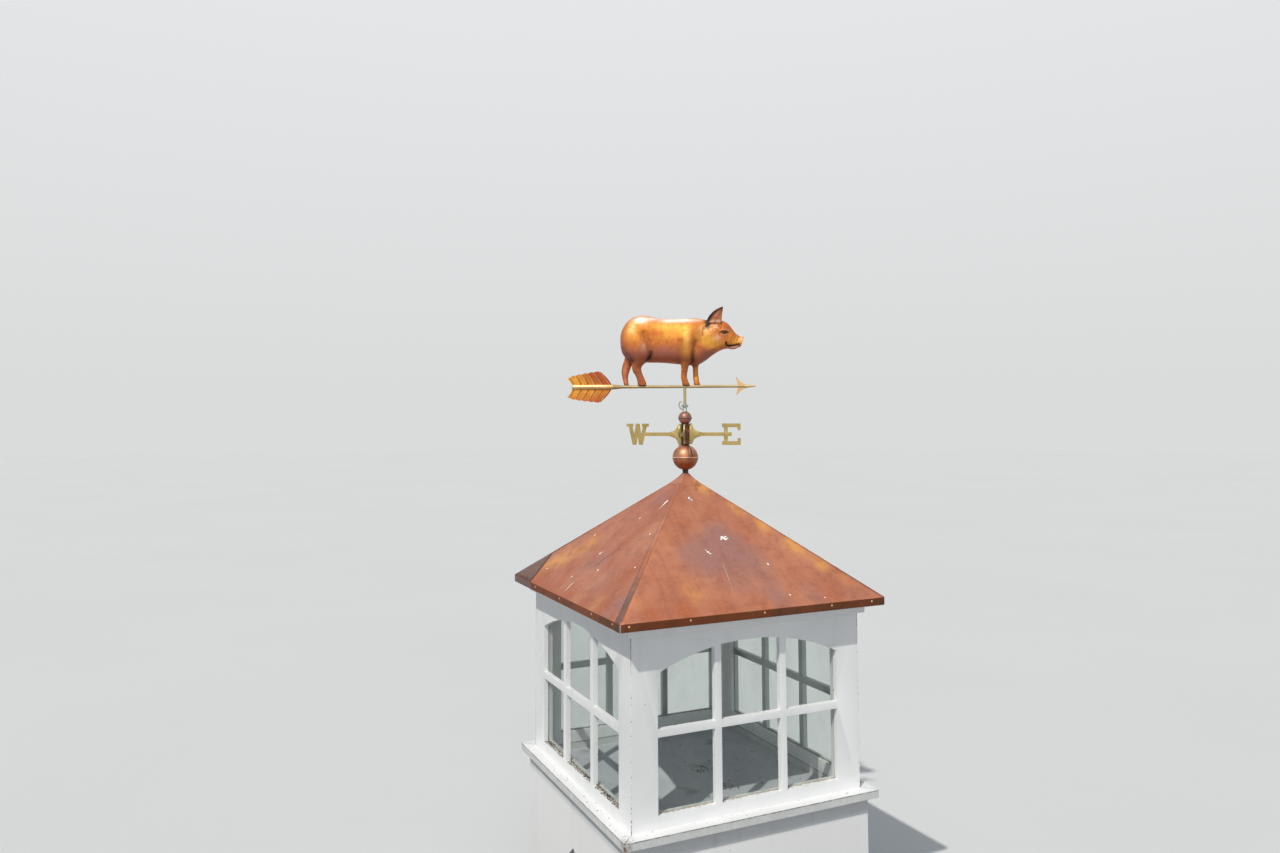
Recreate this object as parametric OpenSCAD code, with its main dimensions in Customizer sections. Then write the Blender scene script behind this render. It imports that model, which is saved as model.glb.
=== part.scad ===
// Barn cupola: square saddle base, glazed lantern with segmental arched
// windows, copper pyramid roof and a full-bodied pig weathervane.
// Millimetres. +Z is up, the front is -Y, and the origin is the centre of
// the level line on which the front and back boards stand.

/* [Base] */
// Outside width of the square base
base_w = 950; // [930:1:1000]
// Thickness of the base boards
base_board = 19; // [15:1:25]
// Rise of the barn roof for each 12 of run, which sets the saddle cut
barn_pitch = 10; // [5:0.5:12]
// Height of the side boards over the barn's ridge
ridge_cover = 195; // [140:1:320]
// Width and height of the cleats that carry the floor
cleat_w = 19; // [15:1:30]
cleat_h = 38; // [25:1:60]
// Thickness of the floor panel
floor_t = 12; // [9:1:19]

/* [Sill] */
// How far the sill boards stand out past the base
sill_nose = 28; // [12:1:40]
// Thickness of the sill boards
sill_t = 28; // [18:1:38]

/* [Lantern walls] */
// Outside width of the lantern
wall_w = 914; // [860:1:930]
// Height of the lantern walls
wall_h = 655; // [630:1:760]
// Thickness of the outer wall boards
wall_board = 19; // [15:1:22]
// Thickness of the inner frames that hold the glass
stop_board = 19; // [15:1:22]
// Thickness of the glass
glass_t = 3; // [3:0.5:6]
// How far the glass laps behind the edge of the opening
glass_lap = 10; // [6:1:14]

/* [Windows] */
// Width of the arched opening
opening_w = 720; // [600:1:726]
// Height of the rail under the opening
bottom_rail = 43; // [25:1:80]
// Height of the arch's springing over the sill
spring_h = 496; // [440:1:500]
// Rise of the arch over its springing
arch_rise = 78; // [40:1:90]
// Width of the muntins
muntin_w = 26; // [18:1:34]
// Distance between the two upright muntins, centre to centre
muntin_gap = 262; // [200:1:300]
// Height of the level muntin's centre over the sill
muntin_h = 304; // [220:1:380]

/* [Eaves] */
// How far the flat moulding stands out from the wall, and its height
moulding_t = 20; // [12:1:28]
moulding_h = 31; // [20:1:45]
// Width and thickness of the soffit boards
soffit_w = 170; // [140:1:200]
soffit_t = 19; // [15:1:24]

/* [Roof] */
// Outside width of the copper at the eaves
eave_w = 1055; // [1010:1:1120]
// Height of the copper edge turned down over the eaves
fascia_h = 27; // [25:1:40]
// Rise of the pyramid over its turned-down edge
roof_rise = 432; // [330:1:520]
// Thickness of the copper sheets
copper_t = 1.5; // [1:0.5:3]
// Thickness of the roof deck under the copper
deck_t = 12; // [9:1:18]
// Width and depth of the block under the apex
king_w = 89; // [60:1:120]
king_h = 130; // [100:1:180]

/* [Mast] */
// Diameter of the fixed mast rod
mast_d = 12.7; // [10:0.1:16]
// Outside diameter of the collar at the apex, and its height over the apex
collar_d = 27; // [24:1:40]
collar_h = 17; // [8:1:40]
// Diameters of the large and the small globe
globe_d = 100; // [80:1:130]
globe_small_d = 52; // [44:1:70]
// Thickness of the globes' shells
shell_t = 2; // [1:0.5:3]
// Width and thickness of the lapped seams round the globes
seam_w = 2.5; // [1:0.5:4]
seam_t = 1.6; // [1:0.2:3]
// Outside diameter and height of the hub between the globes
hub_d = 28; // [24:1:36]
hub_h = 85; // [70:1:110]

/* [Compass arms] */
// Direction of east, in degrees from +X
compass_yaw = -35.5; // [-180:0.5:180]
// Distance from the axis to the inner edge of each letter
letter_at = 145; // [110:1:200]
// Height of the letters
letter_h = 84; // [60:1:90]
// Width of the letters' strokes, and length of their serifs
stroke_w = 15; // [11:1:17]
serif_l = 12; // [6:1:16]
// Thickness of the cast arms and letters
cast_t = 5; // [3:0.5:8]
// Height of the arms along their length, and where they meet the hub
arm_h = 14; // [8:1:20]
arm_root_h = 80; // [50:1:84]
// Length over which the arms flare towards the hub
flare_l = 58; // [30:1:80]

/* [Vane] */
// Diameter of the turning stem
stem_d = 9; // [7:0.1:11]
// Running clearance round the stem in its bearing
stem_clear = 0.05; // [0.02:0.01:0.1]
// Depth of the bearing's bore
bore_depth = 23; // [16:1:24]
// Height and flange diameter of the bearing over the small globe
bearing_h = 32; // [32:1:45]
bearing_flange_d = 27; // [22:1:36]
// Height of the arrow's centre line over the bearing
arrow_rise = 67; // [40:1:100]
// Direction of the arrow's tip, in degrees from +X
vane_yaw = -29; // [-180:0.5:180]
// Length of the arrow behind and ahead of the stem
arrow_back = 467; // [420:1:520]
arrow_front = 278; // [250:1:330]
// Diameters of the arrow's shaft in the feathers, behind the pig and at the tip
quill_d = 21; // [16:0.5:26]
shaft_d = 12.6; // [11:0.1:15]
shaft_tip_d = 10.4; // [8:0.1:11]
// Length, height over the centre line and thickness of the feathers
feather_l = 177; // [150:1:200]
feather_h = 64; // [45:1:80]
feather_t = 4; // [2:0.5:6]
// Length of the arrow head's barbs, and their spread from the centre line
barb_l = 75; // [55:1:95]
barb_h = 38; // [24:1:50]
// Length of the pig from rump to snout
pig_l = 490; // [400:1:500]
// Thickness of the pig's barrel from side to side
pig_w = 128; // [90:1:160]

/* [Hidden] */

// Sides are numbered by quarter turns from the front
FRONT = 0;
RIGHT = 1;
BACK = 2;
LEFT = 3;

white = "#f2f2ef";
plywood = "#c9b48c";
copper = "#a5552c";
dark_copper = "#6b3626";
brass = "#c9a24f";
steel = "#5a4a42";
pane = [0.75, 0.85, 0.88, 0.35];

// Small cuts run past the faces they cut by this much
eps = 0.5;

base_in = base_w / 2 - base_board;
ridge_h = base_in * barn_pitch / 12;
base_h = ridge_h + ridge_cover;
sill_out = base_w / 2 + sill_nose;
sill_top = base_h + sill_t;

wall_out = wall_w / 2;
wall_in = wall_out - wall_board;
room_in = wall_in - stop_board;
wall_top = sill_top + wall_h;
rebate_gap = 0.5;
joint_gap = 0.5;

arch_r = (pow(opening_w / 2, 2) + pow(arch_rise, 2)) / (2 * arch_rise);
arch_z = spring_h + arch_rise - arch_r;

// Roof heights. The slope's heights are taken on the axis
eave_out = eave_w / 2;
slope = roof_rise / eave_out;
slope_cos = 1 / sqrt(1 + slope * slope);
apex = wall_top + fascia_h + roof_rise;
copper_under = apex - copper_t / slope_cos;
deck_under = copper_under - deck_t / slope_cos;
deck_out = eave_out - copper_t;
soffit_top = wall_top + soffit_t;

// The mast's stack, from the apex up
mast_r = mast_d / 2;
mast_clear = 0.2;
mast_foot = deck_under - king_h + 30;
hub_r = hub_d / 2;
globe_r = globe_d / 2;
globe_seat = sqrt(globe_r * globe_r - hub_r * hub_r);
globe_z = apex + collar_h + globe_seat;
hub_z = globe_z + globe_seat;
small_r = globe_small_d / 2;
small_flat = 9;
small_seat = sqrt(small_r * small_r - hub_r * hub_r);
small_top = sqrt(small_r * small_r - small_flat * small_flat);
small_z = hub_z + hub_h + small_seat;
arms_z = hub_z + hub_h / 2;

// The bearing and the turning parts
stem_r = stem_d / 2;
bore_r = stem_r + stem_clear;
bearing_z = small_z + small_top;
bearing_top = bearing_z + bearing_h;
mast_socket = 6;
foot_gap = 0.3;
arrow_z = bearing_top + arrow_rise;
shaft_r = shaft_d / 2;
solder = 1.5;

// Points of the curve that leaves a towards b and arrives at c
function curve(a, b, c) = [for (i = [0:10]) let (t = i / 10)
    (1 - t) * (1 - t) * a + 2 * t * (1 - t) * b + t * t * c];

module on_side(side) {
    rotate([0, 0, 90 * side]) children();
}

// A board drawn in the plane of a wall, with its outer face at distance out
module upright_board(out, thick) {
    translate([0, -out + thick, 0]) rotate([90, 0, 0]) linear_extrude(thick) children();
}

// A level ring's quarter, mitred at both ends with a small gap
module mitred_quarter(inner, outer, height, gap) {
    linear_extrude(height) polygon([
        [-inner + gap, -inner], [inner - gap, -inner],
        [outer - gap, -outer], [-outer + gap, -outer]
    ]);
}

// Base
module base_face(side) {
    reach = base_w / 2;
    color(white) on_side(side) translate([-reach, -reach, 0]) cube([base_w, base_board, base_h]);
}

module base_saddle(side) {
    color(white) on_side(side) upright_board(base_w / 2, base_board) polygon([
        [-base_in, 0], [0, ridge_h], [base_in, 0], [base_in, base_h], [-base_in, base_h]
    ]);
}

module base_front() {
    base_face(FRONT);
}

module base_right() {
    base_saddle(RIGHT);
}

module base_back() {
    base_face(BACK);
}

module base_left() {
    base_saddle(LEFT);
}

module floor_cleats() {
    color(plywood)
    translate([0, 0, base_h - floor_t - cleat_h])
    for (side = [FRONT:LEFT])
        on_side(side) mitred_quarter(base_in - cleat_w, base_in, cleat_h, joint_gap);
}

module floor_panel() {
    edge = base_in - joint_gap;
    color(plywood)
    translate([-edge, -edge, base_h - floor_t]) cube([2 * edge, 2 * edge, floor_t]);
}

// Sill: four mitred boards, flush inside with the lantern's inner frames
module sill(side) {
    color(white)
    translate([0, 0, base_h]) on_side(side) mitred_quarter(room_in, sill_out, sill_t, 0);
}

module sill_front() {
    sill(FRONT);
}

module sill_right() {
    sill(RIGHT);
}

module sill_back() {
    sill(BACK);
}

module sill_left() {
    sill(LEFT);
}

// The arched outline of a window, let out on every side by grow
module arched_opening(grow) {
    half = opening_w / 2 + grow;
    translate([-half, bottom_rail - grow])
        square([2 * half, spring_h - bottom_rail + grow]);
    intersection() {
        translate([0, arch_z]) circle(r = arch_r + grow, $fn = 180);
        translate([-half, spring_h - 1]) square([2 * half, arch_rise + grow + 2]);
    }
}

module muntin_bars() {
    for (side = [-1, 1])
        translate([side * muntin_gap / 2 - muntin_w / 2, bottom_rail])
            square([muntin_w, spring_h + arch_rise - bottom_rail]);
    translate([-opening_w / 2, muntin_h - muntin_w / 2]) square([opening_w, muntin_w]);
}

module window_lights() {
    difference() {
        arched_opening(0);
        muntin_bars();
    }
}

// An outer board with its six lights cut out, which leaves the muntins
module window_board(side, half) {
    color(white)
    translate([0, 0, sill_top]) on_side(side) upright_board(wall_out, wall_board)
    difference() {
        translate([-half, 0]) square([2 * half, wall_h]);
        window_lights();
    }
}

module front_wall() {
    window_board(FRONT, wall_out);
}

module right_wall() {
    window_board(RIGHT, wall_in);
}

module back_wall() {
    window_board(BACK, wall_out);
}

module left_wall() {
    window_board(LEFT, wall_in);
}

module window_glass(side) {
    color(pane)
    translate([0, 0, sill_top]) on_side(side)
        upright_board(wall_in, glass_t) arched_opening(glass_lap);
}

module front_glass() {
    window_glass(FRONT);
}

module right_glass() {
    window_glass(RIGHT);
}

module back_glass() {
    window_glass(BACK);
}

module left_glass() {
    window_glass(LEFT);
}

// An inner frame, rebated round its opening for the glass
module glazing_stop(side, half) {
    rebate = glass_t + rebate_gap;
    color(white)
    translate([0, 0, sill_top]) on_side(side) difference() {
        upright_board(wall_in, stop_board) difference() {
            translate([-half, 0]) square([2 * half, wall_h]);
            arched_opening(0);
        }
        translate([0, -eps, 0])
            upright_board(wall_in, rebate + eps) arched_opening(glass_lap + rebate_gap);
    }
}

module front_stop() {
    glazing_stop(FRONT, wall_in);
}

module right_stop() {
    glazing_stop(RIGHT, room_in);
}

module back_stop() {
    glazing_stop(BACK, wall_in);
}

module left_stop() {
    glazing_stop(LEFT, room_in);
}

// Eaves
module eave_moulding() {
    color(white)
    translate([0, 0, wall_top - moulding_h])
    for (side = [FRONT:LEFT])
        on_side(side) mitred_quarter(wall_out, wall_out + moulding_t, moulding_h, joint_gap);
}

module soffit_boards() {
    color(white)
    translate([0, 0, wall_top])
    for (side = [FRONT:LEFT])
        on_side(side) mitred_quarter(deck_out - soffit_w, deck_out, soffit_t, joint_gap);
}

// The wedge of plan that belongs to the front slope
module front_sector(reach) {
    linear_extrude(apex + 1) polygon([[0, 0], [-reach, -reach], [reach, -reach]]);
}

// A section in the front's own plane, run across the whole width
module front_slope(reach) {
    translate([-reach, 0, 0]) rotate([90, 0, 90]) linear_extrude(2 * reach) children();
}

module mast_hole() {
    cylinder(h = apex + 1, r = mast_r + mast_clear, $fn = 48);
}

module roof_deck(side) {
    seat = (deck_under - soffit_top) / slope;
    color(plywood) on_side(side) difference() {
        intersection() {
            front_sector(deck_out);
            front_slope(deck_out) polygon([
                [-deck_out, soffit_top], [-seat, soffit_top], [0, deck_under],
                [0, copper_under], [-deck_out, copper_under - slope * deck_out]
            ]);
        }
        mast_hole();
    }
}

module deck_front() {
    roof_deck(FRONT);
}

module deck_right() {
    roof_deck(RIGHT);
}

module deck_back() {
    roof_deck(BACK);
}

module deck_left() {
    roof_deck(LEFT);
}

// A copper sheet: the slope and its edge turned down over the eaves
module roof_sheet(side) {
    color(copper) on_side(side) difference() {
        intersection() {
            front_sector(eave_out);
            front_slope(eave_out) polygon([
                [-eave_out, wall_top], [-deck_out, wall_top],
                [-deck_out, copper_under - slope * deck_out],
                [0, copper_under], [0, apex], [-eave_out, wall_top + fascia_h]
            ]);
        }
        mast_hole();
    }
}

module copper_front() {
    roof_sheet(FRONT);
}

module copper_right() {
    roof_sheet(RIGHT);
}

module copper_back() {
    roof_sheet(BACK);
}

module copper_left() {
    roof_sheet(LEFT);
}

// The space under a pyramid whose apex is at height top
module under_pyramid(top, reach) {
    gable = [[-reach, 0], [reach, 0], [reach, top - slope * reach], [0, top],
        [-reach, top - slope * reach]];
    intersection_for (turn = [0, 90])
        rotate([0, 0, turn]) front_slope(reach) polygon(gable);
}

// A square block under the apex that holds the foot of the mast
module king_block() {
    color(plywood) difference() {
        intersection() {
            translate([-king_w / 2, -king_w / 2, deck_under - king_h])
                cube([king_w, king_w, king_h]);
            under_pyramid(deck_under, eave_out);
        }
        translate([0, 0, mast_foot]) cylinder(h = apex, r = mast_r, $fn = 48);
    }
}

// Mast
module mast_rod() {
    color(steel) translate([0, 0, mast_foot])
        cylinder(h = bearing_z + mast_socket - mast_foot, r = mast_r, $fn = 48);
}

// A short collar cut to sit down over the four slopes
module roof_collar() {
    skirt = collar_d / 2 * slope + 4;
    color(dark_copper) difference() {
        translate([0, 0, apex - skirt]) cylinder(h = skirt + collar_h, d = collar_d, $fn = 64);
        under_pyramid(apex, eave_out);
        translate([0, 0, apex - skirt - eps])
            cylinder(h = skirt + collar_h + 1, r = mast_r + mast_clear, $fn = 48);
    }
}

// A spun shell with a lapped seam and flat seats at its poles
module globe(r, low_seat, high_seat) {
    rotate_extrude($fn = 96) difference() {
        union() {
            intersection() {
                circle(r = r, $fn = 96);
                translate([0, -low_seat]) square([r, low_seat + high_seat]);
            }
            translate([r - shell_t, -seam_t / 2]) square([shell_t + seam_w, seam_t]);
        }
        intersection() {
            circle(r = r - shell_t, $fn = 96);
            translate([0, -low_seat + shell_t])
                square([r, low_seat + high_seat - 2 * shell_t]);
        }
        translate([0, -r]) square([mast_r + mast_clear, 2 * r]);
    }
}

module globe_large() {
    color(dark_copper) translate([0, 0, globe_z]) globe(globe_r, globe_seat, globe_seat);
}

module compass_hub() {
    color(steel) translate([0, 0, hub_z]) difference() {
        cylinder(h = hub_h, r = hub_r, $fn = 64);
        translate([0, 0, -eps]) cylinder(h = hub_h + 1, r = mast_r + mast_clear, $fn = 48);
    }
}

module globe_small() {
    color(dark_copper) translate([0, 0, small_z]) globe(small_r, small_seat, small_top);
}

// Slab-serif letters, each with its lower left corner at the origin
module letter_e() {
    width = letter_h * 0.86;
    square([width, stroke_w]);
    translate([0, letter_h - stroke_w]) square([width, stroke_w]);
    translate([stroke_w / 2, 0]) square([stroke_w, letter_h]);
    translate([0, (letter_h - stroke_w) / 2]) square([width * 0.52, stroke_w]);
    translate([width - stroke_w * 0.8, 0]) square([stroke_w * 0.8, stroke_w + serif_l]);
    translate([width - stroke_w * 0.8, letter_h - stroke_w - serif_l])
        square([stroke_w * 0.8, stroke_w + serif_l]);
}

// A slanted stroke between two heights
module slant(x_low, x_high, low, high) {
    polygon([[x_low, low], [x_low + stroke_w, low], [x_high + stroke_w, high], [x_high, high]]);
}

module letter_w() {
    width = letter_h * 1.06;
    mid = (width - stroke_w) / 2;
    foot = width * 0.27;
    slant(foot, stroke_w * 0.4, 0, letter_h);
    slant(foot, mid, 0, letter_h);
    slant(width - foot - stroke_w, mid, 0, letter_h);
    slant(width - foot - stroke_w, width - stroke_w * 1.4, 0, letter_h);
    for (at = [0, width - stroke_w * 1.8])
        translate([at, letter_h - serif_l]) square([stroke_w * 1.8, serif_l]);
}

module letter_n() {
    width = letter_h * 0.95;
    for (at = [stroke_w * 0.6, width - stroke_w * 1.6])
        translate([at, 0]) square([stroke_w, letter_h]);
    slant(width - stroke_w * 1.6, stroke_w * 0.6, 0, letter_h);
    for (at = [0, width - stroke_w * 2.2])
        translate([at, 0]) square([stroke_w * 2.2, stroke_w * 0.6]);
    translate([0, letter_h - stroke_w * 0.6]) square([stroke_w * 2.2, stroke_w * 0.6]);
    translate([width - stroke_w * 2.2, letter_h - stroke_w * 0.6])
        square([stroke_w * 2.2, stroke_w * 0.6]);
}

// Two rings, each open on one side, whose ends carry short upright serifs
module letter_s() {
    ring = (letter_h + stroke_w) / 4;
    for (turn = [0, 180])
        translate([ring, letter_h / 2]) rotate(turn) {
            translate([0, ring - stroke_w / 2]) difference() {
                circle(r = ring, $fn = 72);
                circle(r = ring - stroke_w, $fn = 72);
                translate([0, -ring]) square([2 * ring, ring]);
            }
            translate([ring - stroke_w * 0.7, ring - stroke_w / 2 - 4])
                square([stroke_w * 0.7, stroke_w + serif_l]);
        }
}

// An arm along +X in the plane of its letter, with a flared root at the hub
module arm() {
    root = hub_r - 2;
    translate([root, -arm_h / 2]) square([letter_at - root + stroke_w * 1.2, arm_h]);
    for (turn = [-1, 1]) scale([1, turn]) polygon(concat(
        [[root, 0], [hub_r + flare_l, 0]],
        curve([hub_r + flare_l, arm_h / 2], [hub_r + flare_l * 0.42, arm_h / 2 + 2],
            [hub_r, arm_root_h / 2]),
        [[root, arm_root_h / 2]]
    ));
}

module cast_plate() {
    difference() {
        translate([0, cast_t / 2, 0]) rotate([90, 0, 0]) linear_extrude(cast_t) children();
        translate([0, 0, -letter_h]) cylinder(h = 2 * letter_h, r = hub_r, $fn = 64);
    }
}

module arm_pair(yaw) {
    color(brass) translate([0, 0, arms_z]) rotate([0, 0, yaw]) {
        cast_plate() {
            arm();
            translate([letter_at, -letter_h / 2]) children(0);
        }
        cast_plate() {
            mirror([1, 0]) arm();
            translate([-letter_at, -letter_h / 2]) children(1);
        }
    }
}

module east_west_arms() {
    arm_pair(compass_yaw) {
        letter_e();
        translate([-letter_h * 1.06, 0]) letter_w();
    }
}

module north_south_arms() {
    arm_pair(compass_yaw + 90) {
        letter_n();
        translate([-(letter_h + stroke_w) / 2, 0]) letter_s();
    }
}

// Bearing: a flanged cup on the mast's top, bored from above for the stem
module bearing_cup() {
    waist = small_flat - 1;
    flange_z = bearing_h - 12;
    color(steel) translate([0, 0, bearing_z]) difference() {
        rotate_extrude($fn = 96) polygon([
            [0, 0], [small_flat, 0], [small_flat, 4], [waist, 7], [waist, flange_z - 3],
            [bearing_flange_d / 2, flange_z], [bearing_flange_d / 2, flange_z + 6],
            [waist, flange_z + 8], [waist, bearing_h], [0, bearing_h]
        ]);
        translate([0, 0, -eps]) cylinder(h = mast_socket + eps, r = mast_r, $fn = 48);
        translate([0, 0, bearing_h - bore_depth])
            cylinder(h = bore_depth + 1, r = bore_r, $fn = 96);
    }
}

// Vane
module in_vane() {
    translate([0, 0, arrow_z]) rotate([0, 0, vane_yaw]) children();
}

module vane_stem() {
    stem_foot = bearing_top - bore_depth + foot_gap;
    color(brass) difference() {
        translate([0, 0, stem_foot]) cylinder(h = arrow_z - stem_foot, r = stem_r, $fn = 96);
        in_vane() along_arrow() shaft_profile();
    }
}

module along_arrow() {
    rotate([0, 90, 0]) rotate_extrude($fn = 64) children();
}

// Half section of the shaft: quill, taper and tip, with its length upwards
module shaft_profile() {
    quill_end = -arrow_back + feather_l;
    quill_foot = -arrow_back + 18;
    head_seat = arrow_front - barb_l / 2;
    polygon([
        [0, quill_foot], [quill_d / 2 - 3, quill_foot], [quill_d / 2, quill_foot + 4],
        [quill_d / 2, quill_end], [shaft_r, quill_end + 40],
        [shaft_tip_d / 2, head_seat], [0, head_seat]
    ]);
}

module arrow_shaft() {
    color(brass) in_vane() along_arrow() shaft_profile();
}

// One vane of the feathers over the quill: barbs swept back, a step at each
module feather_outline() {
    steps = 6;
    tail = -arrow_back;
    peak = tail + feather_l * 0.74;
    step_l = (peak - tail - 8) / steps;
    low = feather_h * 0.7;
    notch = 3;
    edge = [for (i = [0:steps - 1])
        let (x = tail + 8 + i * step_l, h = low + (feather_h - low) * sqrt((i + 1) / steps))
        each [[x, h - notch], [x + 3, h], [x + step_l, h]]];
    polygon(concat(
        [[tail + 18, 0], [tail, low * 0.74]], edge,
        [[tail + feather_l, quill_d / 2], [tail + feather_l, 0]]
    ));
}

module arrow_feathers() {
    color(copper) in_vane() difference() {
        rotate([90, 0, 0]) translate([0, 0, -feather_t / 2]) linear_extrude(feather_t)
            for (turn = [-1, 1]) scale([1, turn]) feather_outline();
        along_arrow() shaft_profile();
    }
}

// Barbed head: a round point with two flukes that curve back to sharp ends
module arrow_head() {
    tip = arrow_front;
    barb = [tip - barb_l, barb_h];
    root = [tip - barb_l * 0.86, 0];
    color(brass) in_vane() difference() {
        union() {
            rotate([90, 0, 0]) translate([0, 0, -feather_t / 2]) linear_extrude(feather_t)
                for (turn = [-1, 1]) scale([1, turn]) polygon(concat(
                    curve([tip - 6, 0], [tip - barb_l * 0.72, barb_h * 0.12], barb),
                    curve(barb, [tip - barb_l, barb_h * 0.3], root)
                ));
            along_arrow() polygon([
                [0, tip - barb_l / 2 - 4], [shaft_tip_d / 2 + 0.6, tip - barb_l / 2 - 4],
                [shaft_tip_d / 2 + 0.6, tip - barb_l * 0.4],
                [2.4, tip - 3], [1, tip], [0, tip]
            ]);
        }
        along_arrow() shaft_profile();
    }
}

// Pig, in millimetres over its soles and along the arrow, for a pig_l of 490
// and a pig_w of 128. Rows of the body from rump to snout: place, height of
// the belly and of the back, half width, and how far the top leans forward
body_rows = [
    [-254.5, 170, 194, 6, 0], [-252, 146, 208, 25, 0], [-244, 124, 228, 41, 0],
    [-230, 108, 250, 53, 0], [-212, 99, 266, 60, 0], [-190, 94, 275.5, 63, 0],
    [-164, 92, 278.3, 64, 0], [-130, 91, 273.5, 63, 0], [-90, 90, 265, 61.5, 0],
    [-45, 86, 262.5, 62, 0], [0, 81, 265.5, 63, 0], [30, 79, 267, 61.5, 0],
    [56, 82, 264.5, 57, 0], [82, 97, 259, 50.5, 0], [104, 114, 256.5, 46, 0],
    [126, 129, 256.5, 43, 0], [146, 139, 255, 39, 0], [162, 144.5, 250, 34, 0],
    [174, 144.5, 241, 28.5, 0], [185, 142, 224, 23, 0.05], [197, 141, 205.5, 18.5, 0.12],
    [209, 144.5, 195, 16, 0.2], [218, 149, 190.5, 15.5, 0.26], [224, 150, 191.5, 17.5, 0.3],
    [228, 152, 190.5, 17.5, 0.3]
];

// Rows of a leg from the sole up: height, back, front, centre and half width
near_hind_rows = [
    [0, -186, -151, 5, 7.5], [12, -187.5, -152, 6, 8.5], [26, -189.5, -158, 9, 9],
    [42, -196, -165, 12, 10.5], [57, -205.5, -170, 16, 12], [71, -208.5, -169.5, 20, 14],
    [83, -208.5, -160, 24, 17], [96, -213, -144, 28, 21], [112, -225, -132, 33, 26],
    [132, -238.5, -130, 37, 30], [155, -247, -136, 39, 31], [180, -247, -146, 39, 30],
    [210, -240, -161, 36, 26], [240, -220, -178, 30, 16]
];
far_hind_rows = [
    [0, -240.5, -220.5, 5, 7], [12, -243.5, -223, 6, 8], [26, -247, -225, 9, 8.5],
    [42, -250, -224, 12, 10], [57, -252, -219.5, 16, 12], [71, -251, -214, 20, 14],
    [83, -248.5, -209, 24, 17], [96, -244.5, -198, 28, 21], [112, -240, -170, 33, 26],
    [132, -241, -142, 37, 30], [155, -247, -136, 39, 31], [180, -247, -146, 39, 30],
    [210, -240, -161, 36, 26], [240, -220, -178, 30, 16]
];
near_fore_rows = [
    [0, -9.5, 21, 5, 8], [14, -12, 15.5, 6, 8.5], [30, -14.5, 9.5, 8.5, 9],
    [45, -14, 10, 11, 10], [62, -13.5, 13, 15, 12], [87, -14.5, 19.5, 21, 15.5],
    [108, -17, 25.5, 28, 19], [130, -20, 32, 35, 23], [157, -25.5, 39, 41, 26],
    [180, -27, 44, 43, 25], [205, -21, 42, 42, 20], [228, -5, 30, 38, 12]
];
far_fore_rows = [
    [0, 36.5, 62.5, 5, 8], [14, 35, 58, 6, 8.5], [30, 33, 55.5, 8.5, 9],
    [45, 33, 54, 11, 10], [62, 32.5, 53.5, 15, 12], [80, 31, 54, 20, 15],
    [100, 28, 58, 27, 19], [125, 22, 66, 35, 23], [152, 14, 68, 41, 26],
    [178, 6, 62, 43, 25], [205, 6, 50, 42, 20], [228, 12, 38, 38, 12]
];
ear_rows = [
    [226, 94, 140, 22, 9], [240, 88, 145, 29, 8], [254, 88.5, 147, 34, 6],
    [268, 95, 148, 37, 4.6], [282, 106, 150, 38.5, 4], [294, 121, 152, 39, 3.4],
    [302, 134, 153, 38.5, 2.6], [308, 150, 153.5, 38, 1.4]
];
// Rounder than an ellipse below 1
row_power = 0.88;

function ease(a, b, c, d, t) =
    0.5 * (2 * b + (c - a) * t + (2 * a - 5 * b + 4 * c - d) * t * t
        + (3 * b - a - 3 * c + d) * t * t * t);
function row_at(rows, i) = rows[max(0, min(len(rows) - 1, i))];
function smooth_row(rows, s) = let (i = floor(s)) [for (k = [0:len(rows[0]) - 1])
    ease(row_at(rows, i - 1)[k], row_at(rows, i)[k], row_at(rows, i + 1)[k],
        row_at(rows, i + 2)[k], s - i)];
function smooth_rows(rows, steps) = [for (k = [0:(len(rows) - 1) * steps]) smooth_row(rows, k / steps)];
function bulge(x) = sign(x) * pow(abs(x), row_power);

// A closed skin over rings of points that turn from the first axis to the next
module loft(rings) {
    n = len(rings[0]);
    last = len(rings) - 1;
    walls = [for (i = [0:last - 1], k = [0:n - 1]) let (a = i * n + k, b = i * n + (k + 1) % n)
        each [[a, b + n, b], [a, a + n, b + n]]];
    polyhedron(
        points = [for (ring = rings) each ring],
        faces = concat([[for (k = [0:n - 1]) k]], walls, [[for (k = [0:n - 1]) last * n + n - 1 - k]])
    );
}

module pig_barrel() {
    sides = 26;
    loft([for (row = smooth_rows(body_rows, 2))
        let (mid = (row[1] + row[2]) / 2, half = (row[2] - row[1]) / 2)
        [for (k = [0:sides - 1]) let (a = 360 * k / sides, up = half * bulge(sin(a)))
            [row[0] + row[4] * up, row[3] * bulge(cos(a)), mid + up]]]);
}

// A leg or an ear: level ovals one over the other, side -1 for the near side
module limb(rows, side) {
    sides = 16;
    loft([for (row = smooth_rows(rows, 2))
        let (mid = (row[1] + row[2]) / 2, half = (row[2] - row[1]) / 2)
        [for (k = [0:sides - 1]) let (a = 360 * k / sides)
            [mid + half * bulge(cos(a)), side * row[3] + row[4] * bulge(sin(a)), row[0]]]]);
}

module pig_eye(side) {
    translate([158, side * 31, 203]) scale([5, 4, 3.5]) sphere(r = 1, $fn = 16);
}

module pig() {
    color(copper) in_vane() translate([0, 0, shaft_r - solder])
    scale([pig_l / 490, pig_w / 128, pig_l / 490]) {
        pig_barrel();
        limb(near_hind_rows, -1);
        limb(far_hind_rows, 1);
        limb(near_fore_rows, -1);
        limb(far_fore_rows, 1);
        for (side = [-1, 1]) {
            limb(ear_rows, side);
            pig_eye(side);
        }
    }
}

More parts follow.
